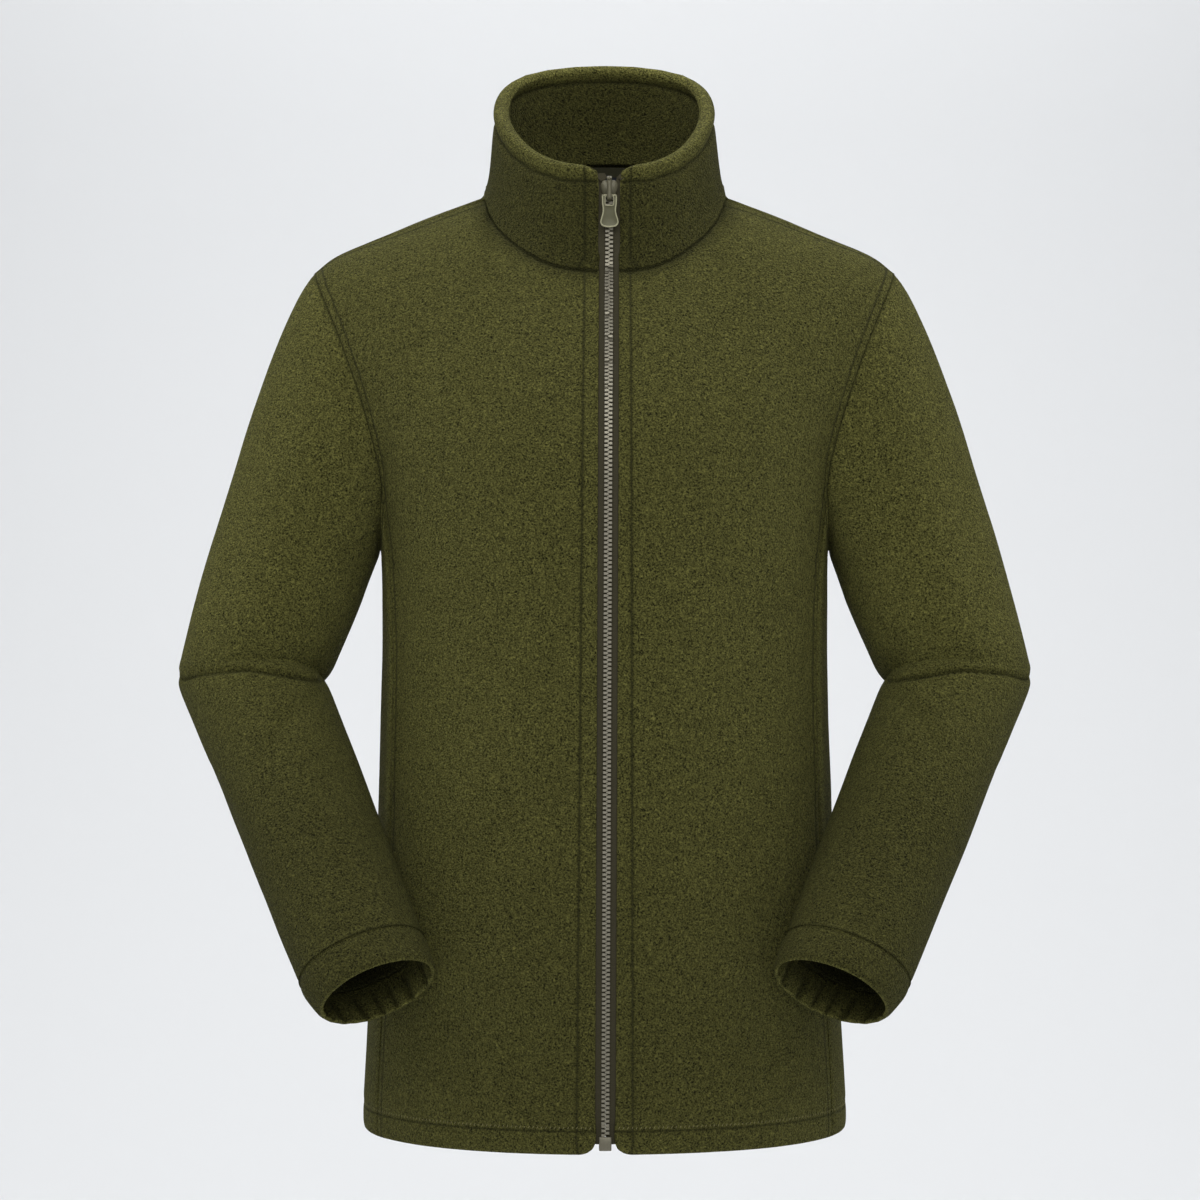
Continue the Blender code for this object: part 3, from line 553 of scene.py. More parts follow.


# Soft folds. Each runs through its points, seen from the named side: x and z from the front
# or the back, y and z from a side. Then its half width and its depth in millimetres.
folds = [
    ("front", [(-0.3120, -0.3490), (-0.2580, -0.3450), (-0.2230, -0.3505), (-0.2010, -0.3570)], 2.6, 3.6),
    ("front", [(0.3075, -0.3500), (0.2560, -0.3460), (0.2230, -0.3510), (0.2010, -0.3575)], 2.6, 3.6),
    ("front", [(-0.2080, -0.3480), (-0.2260, -0.3260), (-0.2420, -0.3120)], 9.0, 2.4),
    ("front", [(0.2080, -0.3480), (0.2240, -0.3280), (0.2440, -0.3160)], 9.0, 2.2),
    ("front", [(-0.2060, -0.3650), (-0.2260, -0.3820), (-0.2380, -0.4040)], 9.0, 1.9),
    ("front", [(0.2060, -0.3650), (0.2240, -0.3800), (0.2340, -0.4060)], 9.0, 2.0),
    ("front", [(-0.1690, -0.2300), (-0.1600, -0.1900), (-0.1620, -0.1400)], 12.0, 1.8),
    ("front", [(0.1690, -0.2280), (0.1610, -0.1860), (0.1640, -0.1380)], 12.0, 1.7),
    ("front", [(-0.1860, -0.2420), (-0.2010, -0.2060), (-0.2040, -0.1640)], 13.0, 1.8),
    ("front", [(0.1860, -0.2420), (0.2000, -0.2080), (0.2060, -0.1680)], 13.0, 1.9),
    ("front", [(-0.1340, -0.0700), (-0.1280, -0.1120), (-0.1300, -0.1500)], 12.0, 1.2),
    ("front", [(0.1370, -0.0720), (0.1300, -0.1180), (0.1330, -0.1560)], 12.0, 1.2),
    ("front", [(-0.0860, -0.0800), (-0.0700, -0.1180), (-0.0720, -0.1620)], 14.0, 1.0),
    ("front", [(0.0900, -0.0820), (0.0760, -0.1240), (0.0790, -0.1720)], 14.0, 1.0),
    ("front", [(-0.1500, -0.2900), (-0.1120, -0.3050), (-0.0820, -0.3000)], 16.0, 1.3),
    ("front", [(0.1500, -0.2950), (0.1160, -0.3120), (0.0830, -0.3080)], 16.0, 1.3),
    ("front", [(-0.1250, -0.4550), (-0.0950, -0.4750), (-0.0600, -0.4680)], 18.0, 1.2),
    ("front", [(0.1280, -0.4480), (0.0960, -0.4690), (0.0640, -0.4650)], 18.0, 1.2),
    ("front", [(-0.1180, -0.6450), (-0.1080, -0.5900), (-0.1120, -0.5350)], 17.0, 1.5),
    ("front", [(0.1210, -0.6430), (0.1120, -0.5860), (0.1150, -0.5300)], 17.0, 1.4),
    ("front", [(-0.0620, -0.6500), (-0.0560, -0.6000), (-0.0600, -0.5600)], 15.0, 1.0),
    ("front", [(0.0660, -0.6500), (0.0600, -0.6050), (0.0630, -0.5620)], 15.0, 1.0),
    ("front", [(-0.2620, -0.2000), (-0.2660, -0.2500), (-0.2760, -0.3000)], 16.0, 1.4),
    ("front", [(0.2580, -0.1980), (0.2640, -0.2480), (0.2740, -0.2980)], 16.0, 1.4),
    ("front", [(-0.2480, -0.4000), (-0.2280, -0.4400), (-0.2060, -0.4860)], 14.0, 1.5),
    ("front", [(0.2460, -0.4020), (0.2260, -0.4430), (0.2040, -0.4900)], 14.0, 1.5),
    ("front", [(-0.1830, -0.4700), (-0.1720, -0.4950), (-0.1560, -0.5180)], 11.0, 1.2),
    ("front", [(0.1820, -0.4720), (0.1710, -0.4970), (0.1550, -0.5200)], 11.0, 1.2),
    # the back
    ("back", [(-0.3080, -0.3520), (-0.2620, -0.3500), (-0.2200, -0.3560)], 7.0, 2.0),
    ("back", [(0.3080, -0.3520), (0.2620, -0.3500), (0.2200, -0.3560)], 7.0, 2.0),
    ("back", [(-0.2850, -0.3300), (-0.2600, -0.3180), (-0.2320, -0.3200)], 9.0, 1.5),
    ("back", [(0.2860, -0.3310), (0.2600, -0.3200), (0.2340, -0.3230)], 9.0, 1.4),
    ("back", [(-0.1660, -0.2350), (-0.1500, -0.1950), (-0.1480, -0.1450)], 14.0, 2.6),
    ("back", [(0.1660, -0.2330), (0.1490, -0.1920), (0.1470, -0.1420)], 14.0, 2.5),
    ("back", [(-0.1900, -0.2480), (-0.2080, -0.2080), (-0.2100, -0.1620)], 14.0, 2.2),
    ("back", [(0.1900, -0.2460), (0.2070, -0.2060), (0.2090, -0.1600)], 14.0, 2.1),
    ("back", [(-0.1400, -0.2700), (-0.1020, -0.2480), (-0.0700, -0.2060)], 20.0, 2.0),
    ("back", [(0.1420, -0.2720), (0.1050, -0.2500), (0.0720, -0.2100)], 20.0, 2.0),
    ("back", [(-0.1300, -0.3600), (-0.0700, -0.3760), (-0.0060, -0.3700)], 18.0, 2.4),
    ("back", [(0.1320, -0.3720), (0.0780, -0.3920), (0.0180, -0.3900)], 17.0, 2.2),
    ("back", [(-0.1240, -0.4120), (-0.0640, -0.4300), (-0.0080, -0.4260)], 18.0, 1.8),
    ("back", [(0.1180, -0.4340), (0.0640, -0.4520), (0.0220, -0.4500)], 18.0, 1.7),
    ("back", [(-0.0950, -0.6500), (-0.0860, -0.5950), (-0.0900, -0.5400)], 17.0, 1.8),
    ("back", [(0.0980, -0.6500), (0.0900, -0.5900), (0.0930, -0.5300)], 17.0, 1.8),
    ("back", [(-0.0200, -0.6500), (-0.0160, -0.6000), (-0.0200, -0.5600)], 16.0, 1.3),
    ("back", [(-0.0700, -0.0300), (-0.0820, -0.0700), (-0.0800, -0.1150)], 15.0, 1.6),
    ("back", [(0.0700, -0.0300), (0.0830, -0.0680), (0.0810, -0.1120)], 15.0, 1.6),
    ("back", [(-0.2500, -0.4050), (-0.2300, -0.4440), (-0.2080, -0.4860)], 14.0, 1.6),
    ("back", [(0.2500, -0.4070), (0.2300, -0.4460), (0.2080, -0.4880)], 14.0, 1.5),
    # the sides, by y and z
    ("left", [(-0.0560, -0.3560), (-0.0200, -0.3500), (0.0160, -0.3440)], 5.0, 1.4),
    ("right", [(-0.0560, -0.3560), (-0.0200, -0.3500), (0.0160, -0.3440)], 5.0, 1.4),
    ("left", [(0.0240, -0.1450), (0.0180, -0.2000), (0.0060, -0.2550)], 15.0, 1.6),
    ("right", [(0.0240, -0.1450), (0.0180, -0.2000), (0.0060, -0.2550)], 15.0, 1.6),
    ("left", [(-0.0980, -0.4800), (-0.0760, -0.4450), (-0.0480, -0.4120)], 13.0, 1.6),
    ("right", [(-0.0980, -0.4800), (-0.0760, -0.4450), (-0.0480, -0.4120)], 13.0, 1.6),
]
looks = {"front": (1, Vector((0, 1, 0))), "back": (1, Vector((0, -1, 0))),
         "left": (0, Vector((-1, 0, 0))), "right": (0, Vector((1, 0, 0)))}


def splineAt(p0, p1, p2, p3, t):
    # The point a share t of the way from p1 to p2 on a smooth line through all four.
    return 0.5 * ((2 * p1) + (p2 - p0) * t + (2 * p0 - 5 * p1 + 4 * p2 - p3) * t * t
                  + (3 * p1 - p0 - 3 * p2 + p3) * t**3)


def layFold(side, marks):
    # A smooth line through the marks, dropped onto the cloth from its side.
    facing, sight = looks[side]
    marks = [Vector(mark) for mark in marks]
    marks = [marks[0] * 2 - marks[1]] + marks + [marks[-1] * 2 - marks[-2]]
    line = []
    for k in range(1, len(marks) - 2):
        for i in range(9 if k == len(marks) - 3 else 8):
            flat = splineAt(*marks[k - 1:k + 3], i / 8)
            start = Vector((flat[0], 0, flat[1])) if facing else Vector((0, flat[0], flat[1]))
            hit = clothSurface.ray_cast(start - sight * 2.0, sight)[0]
            if hit is not None:
                line.append(list(hit))
    return np.array(line)


laidFolds = [(layFold(side, marks), width / 1000, depth / 1000) for side, marks, width, depth in folds]


def outwardField(points, onSleeve, onCollar):
    # The direction out of the garment at each point, the same for the two pieces at a seam.
    x, y, z = points.T
    body = np.stack([x / 0.165**2, y / 0.125**2, np.maximum(z + 0.20, 0) / 0.20**2], 1)
    body /= np.linalg.norm(body, axis=1, keepdims=True) + 1e-9
    spot, best = lineSpots(points)
    sleeve = (points - spot) / (best[:, None] + 1e-9)
    hole = 0.166 + np.clip((z + 0.215) / 0.16, 0, 1) * 0.048
    share = ramp((np.abs(x) - hole + 0.02) / 0.04) * (z < -0.03)
    below = ramp((-0.222 - z) / 0.03)
    share = share * (1 - below) + below * onSleeve
    collar = ramp((z + 0.055 - np.clip((y + 0.07) * 0.7, 0, 0.09)) / 0.03) * (np.abs(x) < 0.1) * onCollar
    upright = np.stack([x, y + 0.008, np.zeros_like(x)], 1)
    upright /= np.linalg.norm(upright, axis=1, keepdims=True) + 1e-9
    field = body * (1 - share[:, None]) + sleeve * share[:, None]
    field = field * (1 - collar[:, None]) + upright * collar[:, None]
    return field / (np.linalg.norm(field, axis=1, keepdims=True) + 1e-9)


def foldHeights(points):
    # A trough has low raised lips beside it and fades towards its ends.
    heights = np.zeros(len(points))
    for line, width, depth in laidFolds:
        if len(line) < 3:
            continue
        low, high = line.min(0) - 3 * width, line.max(0) + 3 * width
        near = np.where(np.all((points > low) & (points < high), axis=1))[0]
        if not len(near):
            continue
        gaps = np.linalg.norm(points[near][:, None, :] - line[None], axis=2)
        at = gaps.argmin(1)
        away = gaps[np.arange(len(near)), at] / width
        end = np.sin(pi * np.clip((at + 0.6) / (len(line) + 0.2), 0, 1))**0.7
        heights[near] -= depth * end * (1 - 0.55 * away**2) * np.exp(-away**2)
    return heights


def driftHeights(points):
    # A slow unevenness, as in any cloth.
    return np.array([0.0009 * noise.noise(p / 0.11) + 0.0004 * noise.noise(p / 0.045 + Vector((7, 3, 1)))
                     for p in map(Vector, points)])


seamNames = {  # by piece and by the piece that it is sewn to
    "front": {"sleeve": "armEdge", "back": "sideEdge", "collar": "neckEdge"},
    "back": {"sleeve": "armEdge", "front": "sideEdge", "collar": "neckEdge"},
    "sleeve": {"cuff": "cuffEdge"}, "cuff": {}, "collar": {"front": "neckEdge", "back": "neckEdge"},
}
edgeLabels = ["armEdge", "sideEdge", "shoulderEdge", "neckEdge", "hemEdge", "cuffEdge", "zipEdge", "zipLine",
              "rimLine", "elbowFold"]
sewing = {
    "arm": 0.0062, "side": 0.0070, "shoulder": 0.0080, "hem": 0.0190, "hemSecond": 0.0165,
    "rim": 0.0235, "lining": 0.0125, "zipLeft": (0.0068, 0.0110), "zipRight": (0.0090, 0.0118),
}
hemHeight = -0.6840
far = 0.05
zipMiddle = 0.0034
zipForm = {  # the fronts' zip edges and the collar's, and the puckers along their stitching
    "leftFrom": 0.0015, "foot": -0.68, "lowest": -0.677, "footFrom": -0.64, "collarReach": 0.014,
    "onRim": 1e-5, "calmFrom": 0.006, "calm": 0.020, "corner": 0.0120,
    "puckers": 95, "sunk": -0.0005, "pucker": -0.0005, "puckerHalf": 0.0045,
}
shoulderTip = {"x": 0.2185, "z": -0.0520, "reach": 0.013, "depth": 0.0026, "sleeve": 0.80, "body": 1.12}
elbowPath = [(0.1996, -0.3559), (0.2198, -0.3508), (0.2558, -0.3451), (0.2900, -0.3492), (0.3085, -0.3537)]
pocket = (-0.440, -0.268)    # the pocket's opening along the side seam, by height
pocketFade = 0.012
clothPieces = {}
rimRound = 0.42    # how far a free rim is rounded out, as a share of the wall
shoulderFrom = -0.19    # above this height a seam between front and back is the shoulder's


def crestLine():
    # The crest of the collar's rim, from its CAD points, smoothed and closely spaced.
    inner = cadTrees["collar_inner"]
    seen = {}
    for vert in nodes["collar_outer"].data.vertices:
        if inner.find(vert.co)[2] < crestGap:
            key = (round(vert.co.x, 3), round(vert.co.y, 3))
            if key not in seen or seen[key].z < vert.co.z:
                seen[key] = vert.co.copy()
    tops = sorted(seen.values(), key=lambda p: np.arctan2(p.x, p.y))
    tops = [p for p in tops if not any((p - q).length < 0.004 and q.z > p.z for q in tops)]
    line = []
    for a, b in zip(tops, tops[1:]):
        line += [a.lerp(b, i / 10) for i in range(10)]
    return line + [tops[-1]]


def roundCorner(points, toZip, toEdge, radius, away):
    # Turns the square corner between the zip edge and another edge into a round one.
    a, b = np.clip(1 - toZip / radius, 0, 1), np.clip(1 - toEdge / radius, 0, 1)
    side = np.where(points[:, 0] < zipForm["leftFrom"], -1.0, 1.0)
    points[:, 0] += side * (a - a * np.sqrt(1 - b * b / 2)) * radius
    points[:, 2] += away * (b - b * np.sqrt(1 - a * a / 2)) * radius


cuffForm = {
    "length": 0.026, "swing": 0.0026, "cloth": 0.0030, "gathers": 9, "depth": 0.0024, "draw": 0.0010,
    "trough": 0.17, "wander": 0.20, "wanders": 14,
    "along": (0, 0.35, 0.9, 1.0), "gathered": (0, 0.8, 1.0, 0.7),
    "side": (0.0468, 0.0466, 0.0440, 0.0424), "deep": (0.0466, 0.0468, 0.0466, 0.0456),
}


def shapeCuff(points, layer):
    # Lays the cuff's outside smooth, and soft uneven gathers in the back of its inner side (layer 1).
    # Returns how deep in a trough each point is, and how far up from the cuff's mouth.
    form = cuffForm
    sign = 1 if points[:, 0].mean() > 0 else -1
    start, bend, wrist = sleeveLine[1:4]
    down, below = (bend - start).normalized(), (wrist - bend).normalized()
    out = (Vector((1, 0, 0)) - down * down.x).normalized()
    ahead = down.cross(out)
    ahead = -ahead if ahead.y > 0 else ahead
    turn = down.rotation_difference(below)
    axes = np.array([below, turn @ out, turn @ ahead])
    local = (points * [sign, 1, 1] - np.array(wrist)) @ axes.T
    along = np.clip(local[:, 0] / form["length"] + 1, 0, 1)
    side, deep, gathered = (np.interp(along, form["along"], form[k]) for k in ("side", "deep", "gathered"))
    local[:, 1] += form["swing"] * along**2
    angle = np.arctan2(local[:, 2] / deep, local[:, 1] / side)
    across = np.clip(1 + angle / pi, 0, 1) * (angle < 0)
    waves = form["gathers"] * across + form["wander"] * np.sin(form["wanders"] * across)
    trough = hump(waves % 1.0, 0.5, form["trough"]) * np.clip(4 * np.sin(pi * across), 0, 1) * gathered
    outer = 1 - form["draw"] * gathered * np.sin(pi * across) / side
    fold = np.sin(pi * across).clip(0, 1)**0.5 * gathered * (angle < 0)
    inner = outer - (form["cloth"] + form["depth"] * (fold - trough)) / side
    scale = (outer * (1 - layer) + inner * layer) / np.hypot(local[:, 1] / side, local[:, 2] / deep)
    local[:, 1] = local[:, 1] * scale - form["swing"] * along**2
    local[:, 2] *= scale
    points[:] = (np.array(wrist) + local @ axes) * [sign, 1, 1]
    return trough * layer, 1 - along


def calmPatch(mesh, points, weights, rounds):
    # Evens out the form where the weights are over zero, by the mean of each point's neighbours.
    ends = np.empty(len(mesh.edges) * 2, np.int32)
    mesh.edges.foreach_get("vertices", ends)
    first, second = ends.reshape(-1, 2).T
    near = (weights[first] > 0) | (weights[second] > 0)
    first, second = first[near], second[near]
    count = len(points)
    links = (np.bincount(first, minlength=count) + np.bincount(second, minlength=count)).clip(1)[:, None]
    for i in range(rounds):
        sums = np.stack([np.bincount(first, points[second, k], count)
                         + np.bincount(second, points[first, k], count) for k in range(3)], 1)
        points += (sums / links - points) * (weights * 0.7)[:, None]


shades = {  # painted light and shade in the cloth's tone, by height on the body and the sleeves, and on the small pieces
    "bodyHeights": (-0.69, -0.62, -0.55, -0.40, -0.25, -0.05), "body": (0.93, 0.82, 0.86, 1.02, 1.04, 0.94),
    "sleeveHeights": (-0.60, -0.46, -0.37, -0.30), "sleeve": (0.58, 0.66, 0.88, 1.14),
    "cuff": 0.60, "gather": 0.60, "cuffInside": 0.50, "cuffBack": 0.9, "cuffRim": 0.35,
    "cuffDeep": 1.6, "onRim": 0.0002, "sleeveInside": 0.25,
    "collar": 0.62, "lining": 0.52, "roll": 1.05, "rollBack": 0.45, "rollSpan": 0.04,
}
relief = {  # soft ridges and grooves along an edge: where the middle is, the half width, and the height
    "seam": (0, 0.0030, -0.0009), "neckSeam": (0, 0.0050, -0.0012),
    "armRidge": (0.0034, 0.0022, 0.0006), "armStitch": (sewing["arm"], 0.0016, -0.0006),
    "hemStitch": (sewing["hem"], 0.0030, -0.0005), "zipWave": (0.008, 0.008, 0.0006),
    "pocketFront": (0.0030, 0.0040, 0.0018), "pocketBack": (0, 0.0050, -0.0014),
    "elbowRidge": (0.0060, 0.0060, 0.0005), "elbowGroove": (-0.0006, 0.0018, -0.0018),
    "elbowBelow": (-0.0090, 0.0080, -0.0005),
    "rimRoll": (0.0130, 0.0075, 0.0009), "rimStitch": (sewing["rim"], 0.0026, -0.0013),
    "neckRoll": (0.0085, 0.0065, 0.0024),
    "liningRoll": (0.0060, 0.0045, 0.0010), "liningStitch": (sewing["lining"], 0.0022, -0.0017),
}
shadow = {  # the same for the painted light and shade in the tone: what is added to it at most
    "pocket": (0, 0.0016, -0.35), "neck": (0, 0.0085, -0.52),
    "strip": (0.0070, 0.0050, 0.70), "stripEdge": (0, 0.0014, -0.5),
}
stripFade = {"low": -0.470, "lowSpan": 0.03, "high": -0.160, "highSpan": 0.05}    # the height span of the painted light on the back's side strip
necklineCalm = {
    "x": 0.090, "z": -0.060, "wide": 0.040, "tall": 0.085, "gain": 2.5, "edge": 0.001,
    "span": 0.012, "rounds": 140,
}
elbowFront = {"from": 0.004, "span": 0.012, "line": 0.0004}


def bump(form, values, share=1.0):
    middle, width, height = form
    return height * share * hump(values, middle, width)


def paintedLightOf(family, points, inside, crest):
    # Painted light and shade by piece: the body and sleeves darker lower down as the light falls off, the
    # sleeves' insides darker still.
    z = points[:, 2]
    if family in ("front", "back"):
        return np.interp(z, shades["bodyHeights"], shades["body"])
    if family == "sleeve":
        tone = np.interp(z, shades["sleeveHeights"], shades["sleeve"])
        return tone * np.where(inside, shades["sleeveInside"], 1)
    if family == "cuff":
        # The cuff's base tone is painted shade.
        return np.full(len(points), shades["cuff"])
    # Painted shade on the collar's faces and lining, painted light on its rolled rim, lighter at the back.
    low = np.where(inside, shades["lining"], shades["collar"])
    reach = np.where(inside, sewing["lining"], sewing["rim"])
    roll = shades["roll"] * (1 + shades["rollBack"] * ramp(points[:, 1] / shades["rollSpan"]))
    return low + (roll - low) * ramp((reach + 0.001 - crest) / 0.003)


def edgeDistances(mesh, family, rims, points, kinds, vertsIn):
    # How far each point is from each kind of edge, from any seam and from the free rims, how much the free
    # rims are rounded out, and where in the wall each point lies, from 0 outside to 1 inside.
    count = len(points)
    outside, inside = vertsIn(kinds == 0), vertsIn(kinds == 1)
    edges = {label: np.full(count, far) for label in edgeLabels}
    sewn, free, turned = np.full(count, far), np.full(count, far), np.zeros(count)
    layer = inside.astype(float)
    for order, kind in enumerate(rims):
        chosen = kinds == 2 + order
        if kind == "free":
            own = np.where(vertsIn(chosen) & ~outside & ~inside)[0]
            toOuter = awayFrom(surfaceOf(mesh, kinds == 0), points[own])
            toInner = awayFrom(surfaceOf(mesh, kinds == 1), points[own])
            thick = toOuter + toInner + 1e-9
            turned[own] = np.sqrt(np.clip(1 - ((toOuter - toInner) / thick)**2, 0, 1)) * thick * rimRound
            layer[own] = toOuter / thick
            free = awayFrom(surfaceOf(mesh, chosen), points)
            continue
        label = seamNames[family].get(kind.split("_")[0])
        parts = [(label, chosen)]
        if label == "sideEdge":
            heights = np.array([mesh.polygons[i].center.z for i in np.where(chosen)[0]])
            high = np.zeros(len(kinds), bool)
            high[np.where(chosen)[0][heights > shoulderFrom]] = True
            parts = [("sideEdge", chosen & ~high), ("shoulderEdge", high)]
        for label, chosen in parts:
            if not chosen.any():
                continue
            away = awayFrom(surfaceOf(mesh, chosen), points)
            sewn = np.minimum(sewn, away)
            if label:
                edges[label] = np.minimum(edges[label], away)
    return edges, sewn, free, turned, layer


def zipDistances(points, edges, free, family):
    # Fills in how far each point is from the zip's edge and from its stitching. Returns the rim's points.
    beside = np.abs(points[:, 0] - zipMiddle) < (zipForm["collarReach"] if family == "collar" else far)
    beside &= points[:, 1] < 0
    rim = np.where((free < zipForm["onRim"]) & (points[:, 2] > zipForm["lowest"]) & beside)[0]
    edges["zipEdge"] = distances(points, points[rim])
    onLeft = points[:, 0] > zipForm["leftFrom"]
    drop = np.clip(points[:, 2] / zipForm["foot"], 0, 1)
    left, right = (sewing[key][0] * (1 - drop) + sewing[key][1] * drop for key in ("zipLeft", "zipRight"))
    edges["zipLine"] = np.minimum(edges["zipEdge"] - np.where(onLeft, left, right), far)
    return rim


def clothLift(points, edges, sewn, outside, family, inPocket):
    # How far each point moves out along the garment: folds, drifts, seams, puckers and the elbow's crease.
    lift = foldHeights(points) + driftHeights(points)
    lift *= ramp((edges["zipEdge"] - zipForm["calmFrom"]) / zipForm["calm"])
    tip = shoulderTip
    away = np.hypot(np.abs(points[:, 0]) - tip["x"], points[:, 2] - tip["z"])
    lift -= tip["depth"] * hump(away, 0, tip["reach"]) * tip["sleeve" if family == "sleeve" else "body"]
    lift += bump(relief["seam"], sewn) * outside
    lift += bump(relief["neckSeam"], edges["neckEdge"]) * (outside & (family != "collar"))
    lift += bump(relief["armRidge"], edges["armEdge"]) * (outside & (family != "sleeve"))
    lift += bump(relief["armStitch"], edges["armEdge"]) * (outside & (family != "sleeve"))
    lift += bump(relief["hemStitch"], edges["hemEdge"])
    pucker = np.array([noise.noise(Vector((0, 0, z * zipForm["puckers"]))) for z in points[:, 2]])
    sunk = (zipForm["sunk"] + zipForm["pucker"] * pucker) * hump(edges["zipLine"], 0, zipForm["puckerHalf"])
    lift += sunk * outside
    lift += bump(relief["zipWave"], edges["zipLine"], pucker)
    if family == "front":
        lift += bump(relief["pocketFront"], edges["sideEdge"], inPocket) * outside
    if family == "back":
        lift += bump(relief["pocketBack"], edges["sideEdge"], inPocket) * outside
    if family == "sleeve":
        spot = lineSpots(points)[0]
        path = np.interp(np.abs(points[:, 0]), *zip(*elbowPath))
        ahead = ramp((spot[:, 1] - points[:, 1] + elbowFront["from"]) / elbowFront["span"])
        fold = points[:, 2] - path
        edges["elbowFold"] = np.clip(np.abs(fold + elbowFront["line"]) + (1 - ahead) * far, 0, far)
        lift += ahead * (bump(relief["elbowRidge"], fold) + bump(relief["elbowGroove"], fold)
                         + bump(relief["elbowBelow"], fold))
    return lift


def finishFront(mesh, points, edges, sewn, rim):
    # Evens out the cloth beside the neck and rounds the corner at the zip's foot.
    form = necklineCalm
    x, z = np.abs(points[:, 0]), points[:, 2]
    neck = 1 - np.hypot((x - form["x"]) / form["wide"], (z - form["z"]) / form["tall"])
    edge = np.clip((sewn - form["edge"]) / form["span"], 0, 1)
    calmPatch(mesh, points, np.clip(neck * form["gain"], 0, 1) * edge, form["rounds"])
    foot = points[rim][points[rim][:, 2] < zipForm["footFrom"], 0].mean()
    roundCorner(points, np.abs(points[:, 0] - foot), edges["hemEdge"], zipForm["corner"], 1)


def finishCollar(points, normals, edges, crest, outside, inside):
    # Swells the rolled rim and the neck, sinks the stitching and rounds the corners at the zip's top.
    edges["rimLine"] = np.minimum(crest - np.where(inside, sewing["lining"], sewing["rim"]), far)
    swell = bump(relief["rimRoll"], crest) + bump(relief["rimStitch"], crest)
    swell += bump(relief["neckRoll"], edges["neckEdge"])
    points += normals * (swell * outside)[:, None]
    swell = bump(relief["liningRoll"], crest) + bump(relief["liningStitch"], crest)
    points += normals * (swell * inside)[:, None]
    roundCorner(points, edges["zipEdge"], crest, zipForm["corner"], -1)
    edges["neckEdge"][inside] = far


def clothPiece(name, names, levels, material):
    # Builds one panel's shell: smooth form, folds, rounded free edges and sunk seams.
    bm = cadMesh(names)
    if len(names) == 2:
        joinPlies(bm, names)
    rims, sharp = facesByKind(bm, names)
    mesh = subdivided(bm, sharp, levels)
    points, normals, kinds, loops, sizes = meshArrays(mesh)
    family, z = name.split("_")[0], points[:, 2]
    field = outwardField(points, family in ("sleeve", "cuff"), family == "collar")
    vertsIn = lambda chosen: vertsOf(chosen, loops, sizes, len(points))
    outside, inside = vertsIn(kinds == 0), vertsIn(kinds == 1)
    edges, sewn, free, turned, layer = edgeDistances(mesh, family, rims, points, kinds, vertsIn)
    if family in ("front", "back"):
        edges["hemEdge"] = np.clip(z - hemHeight, 0, far)
    if family in ("front", "collar"):
        rim = zipDistances(points, edges, free, family)
    inPocket = ramp((z - pocket[0]) / pocketFade) * ramp((pocket[1] - z) / pocketFade)
    lift = clothLift(points, edges, sewn, outside, family, inPocket)
    crest = distances(points, crestPoints) if family == "collar" else None
    # The piece's painted light and shade, kept in its tone.
    tone = paintedLightOf(family, points, inside, crest)
    if family == "cuff":
        trough, deep = shapeCuff(points, layer)
        # Painted shade in the gathers' troughs and deeper inside the cuff, painted light on its inner side
        # and a painted highlight along its rim.
        inner = shades["cuffInside"] * ramp(deep * shades["cuffDeep"]) * layer
        tone *= (1 - shades["gather"] * trough) * (1 - inner)
        tone *= 1 + shades["cuffBack"] * layer
        tone *= 1 + shades["cuffRim"] * (turned > shades["onRim"])
    points += field * lift[:, None] + normals * turned[:, None]
    if family == "front":
        finishFront(mesh, points, edges, sewn, rim)
        # Painted shadow under the pocket's lifted lip.
        tone *= 1 + bump(shadow["pocket"], edges["sideEdge"], inPocket)
    if family in ("front", "back"):
        # Painted shadow below the collar's base.
        tone *= 1 + bump(shadow["neck"], edges["neckEdge"])
    if family == "back":
        # Painted light on the back's side strip, as if lit from the side, and painted shade along its edge.
        fade = stripFade
        strip = ramp((points[:, 2] - fade["low"]) / fade["lowSpan"])
        strip *= ramp((fade["high"] - points[:, 2]) / fade["highSpan"])
        side = edges["sideEdge"]
        tone *= 1 + strip * (bump(shadow["strip"], side) + bump(shadow["stripEdge"], side))
        edges["sideEdge"][:] = edges["shoulderEdge"][:] = far
    if family == "collar":
        finishCollar(points, normals, edges, crest, outside, inside)
    mesh.vertices.foreach_set("co", points.astype(np.float32).ravel())
    for label, values in (edges | {"tone": tone}).items():
        mesh.attributes.new(label, "FLOAT", "POINT").data.foreach_set("value", values.astype(np.float32))
    mesh.materials.clear()
    mesh.materials.append(material)
    mesh.polygons.foreach_set("material_index", np.zeros(len(kinds), np.int32))
    mesh.shade_smooth()
    mesh.update()
    obj = bpy.data.objects.new(name + "Cloth", mesh)
    bpy.context.collection.objects.link(obj)
    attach(obj, "jacket")
    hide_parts(*names)
    clothPieces[name] = (obj, kinds, edges)
    return obj


def distances(points, targets):
    tree = treeOf(targets)
    return np.array([min(tree.find(p)[2], far) for p in points])


crestPoints = crestLine()
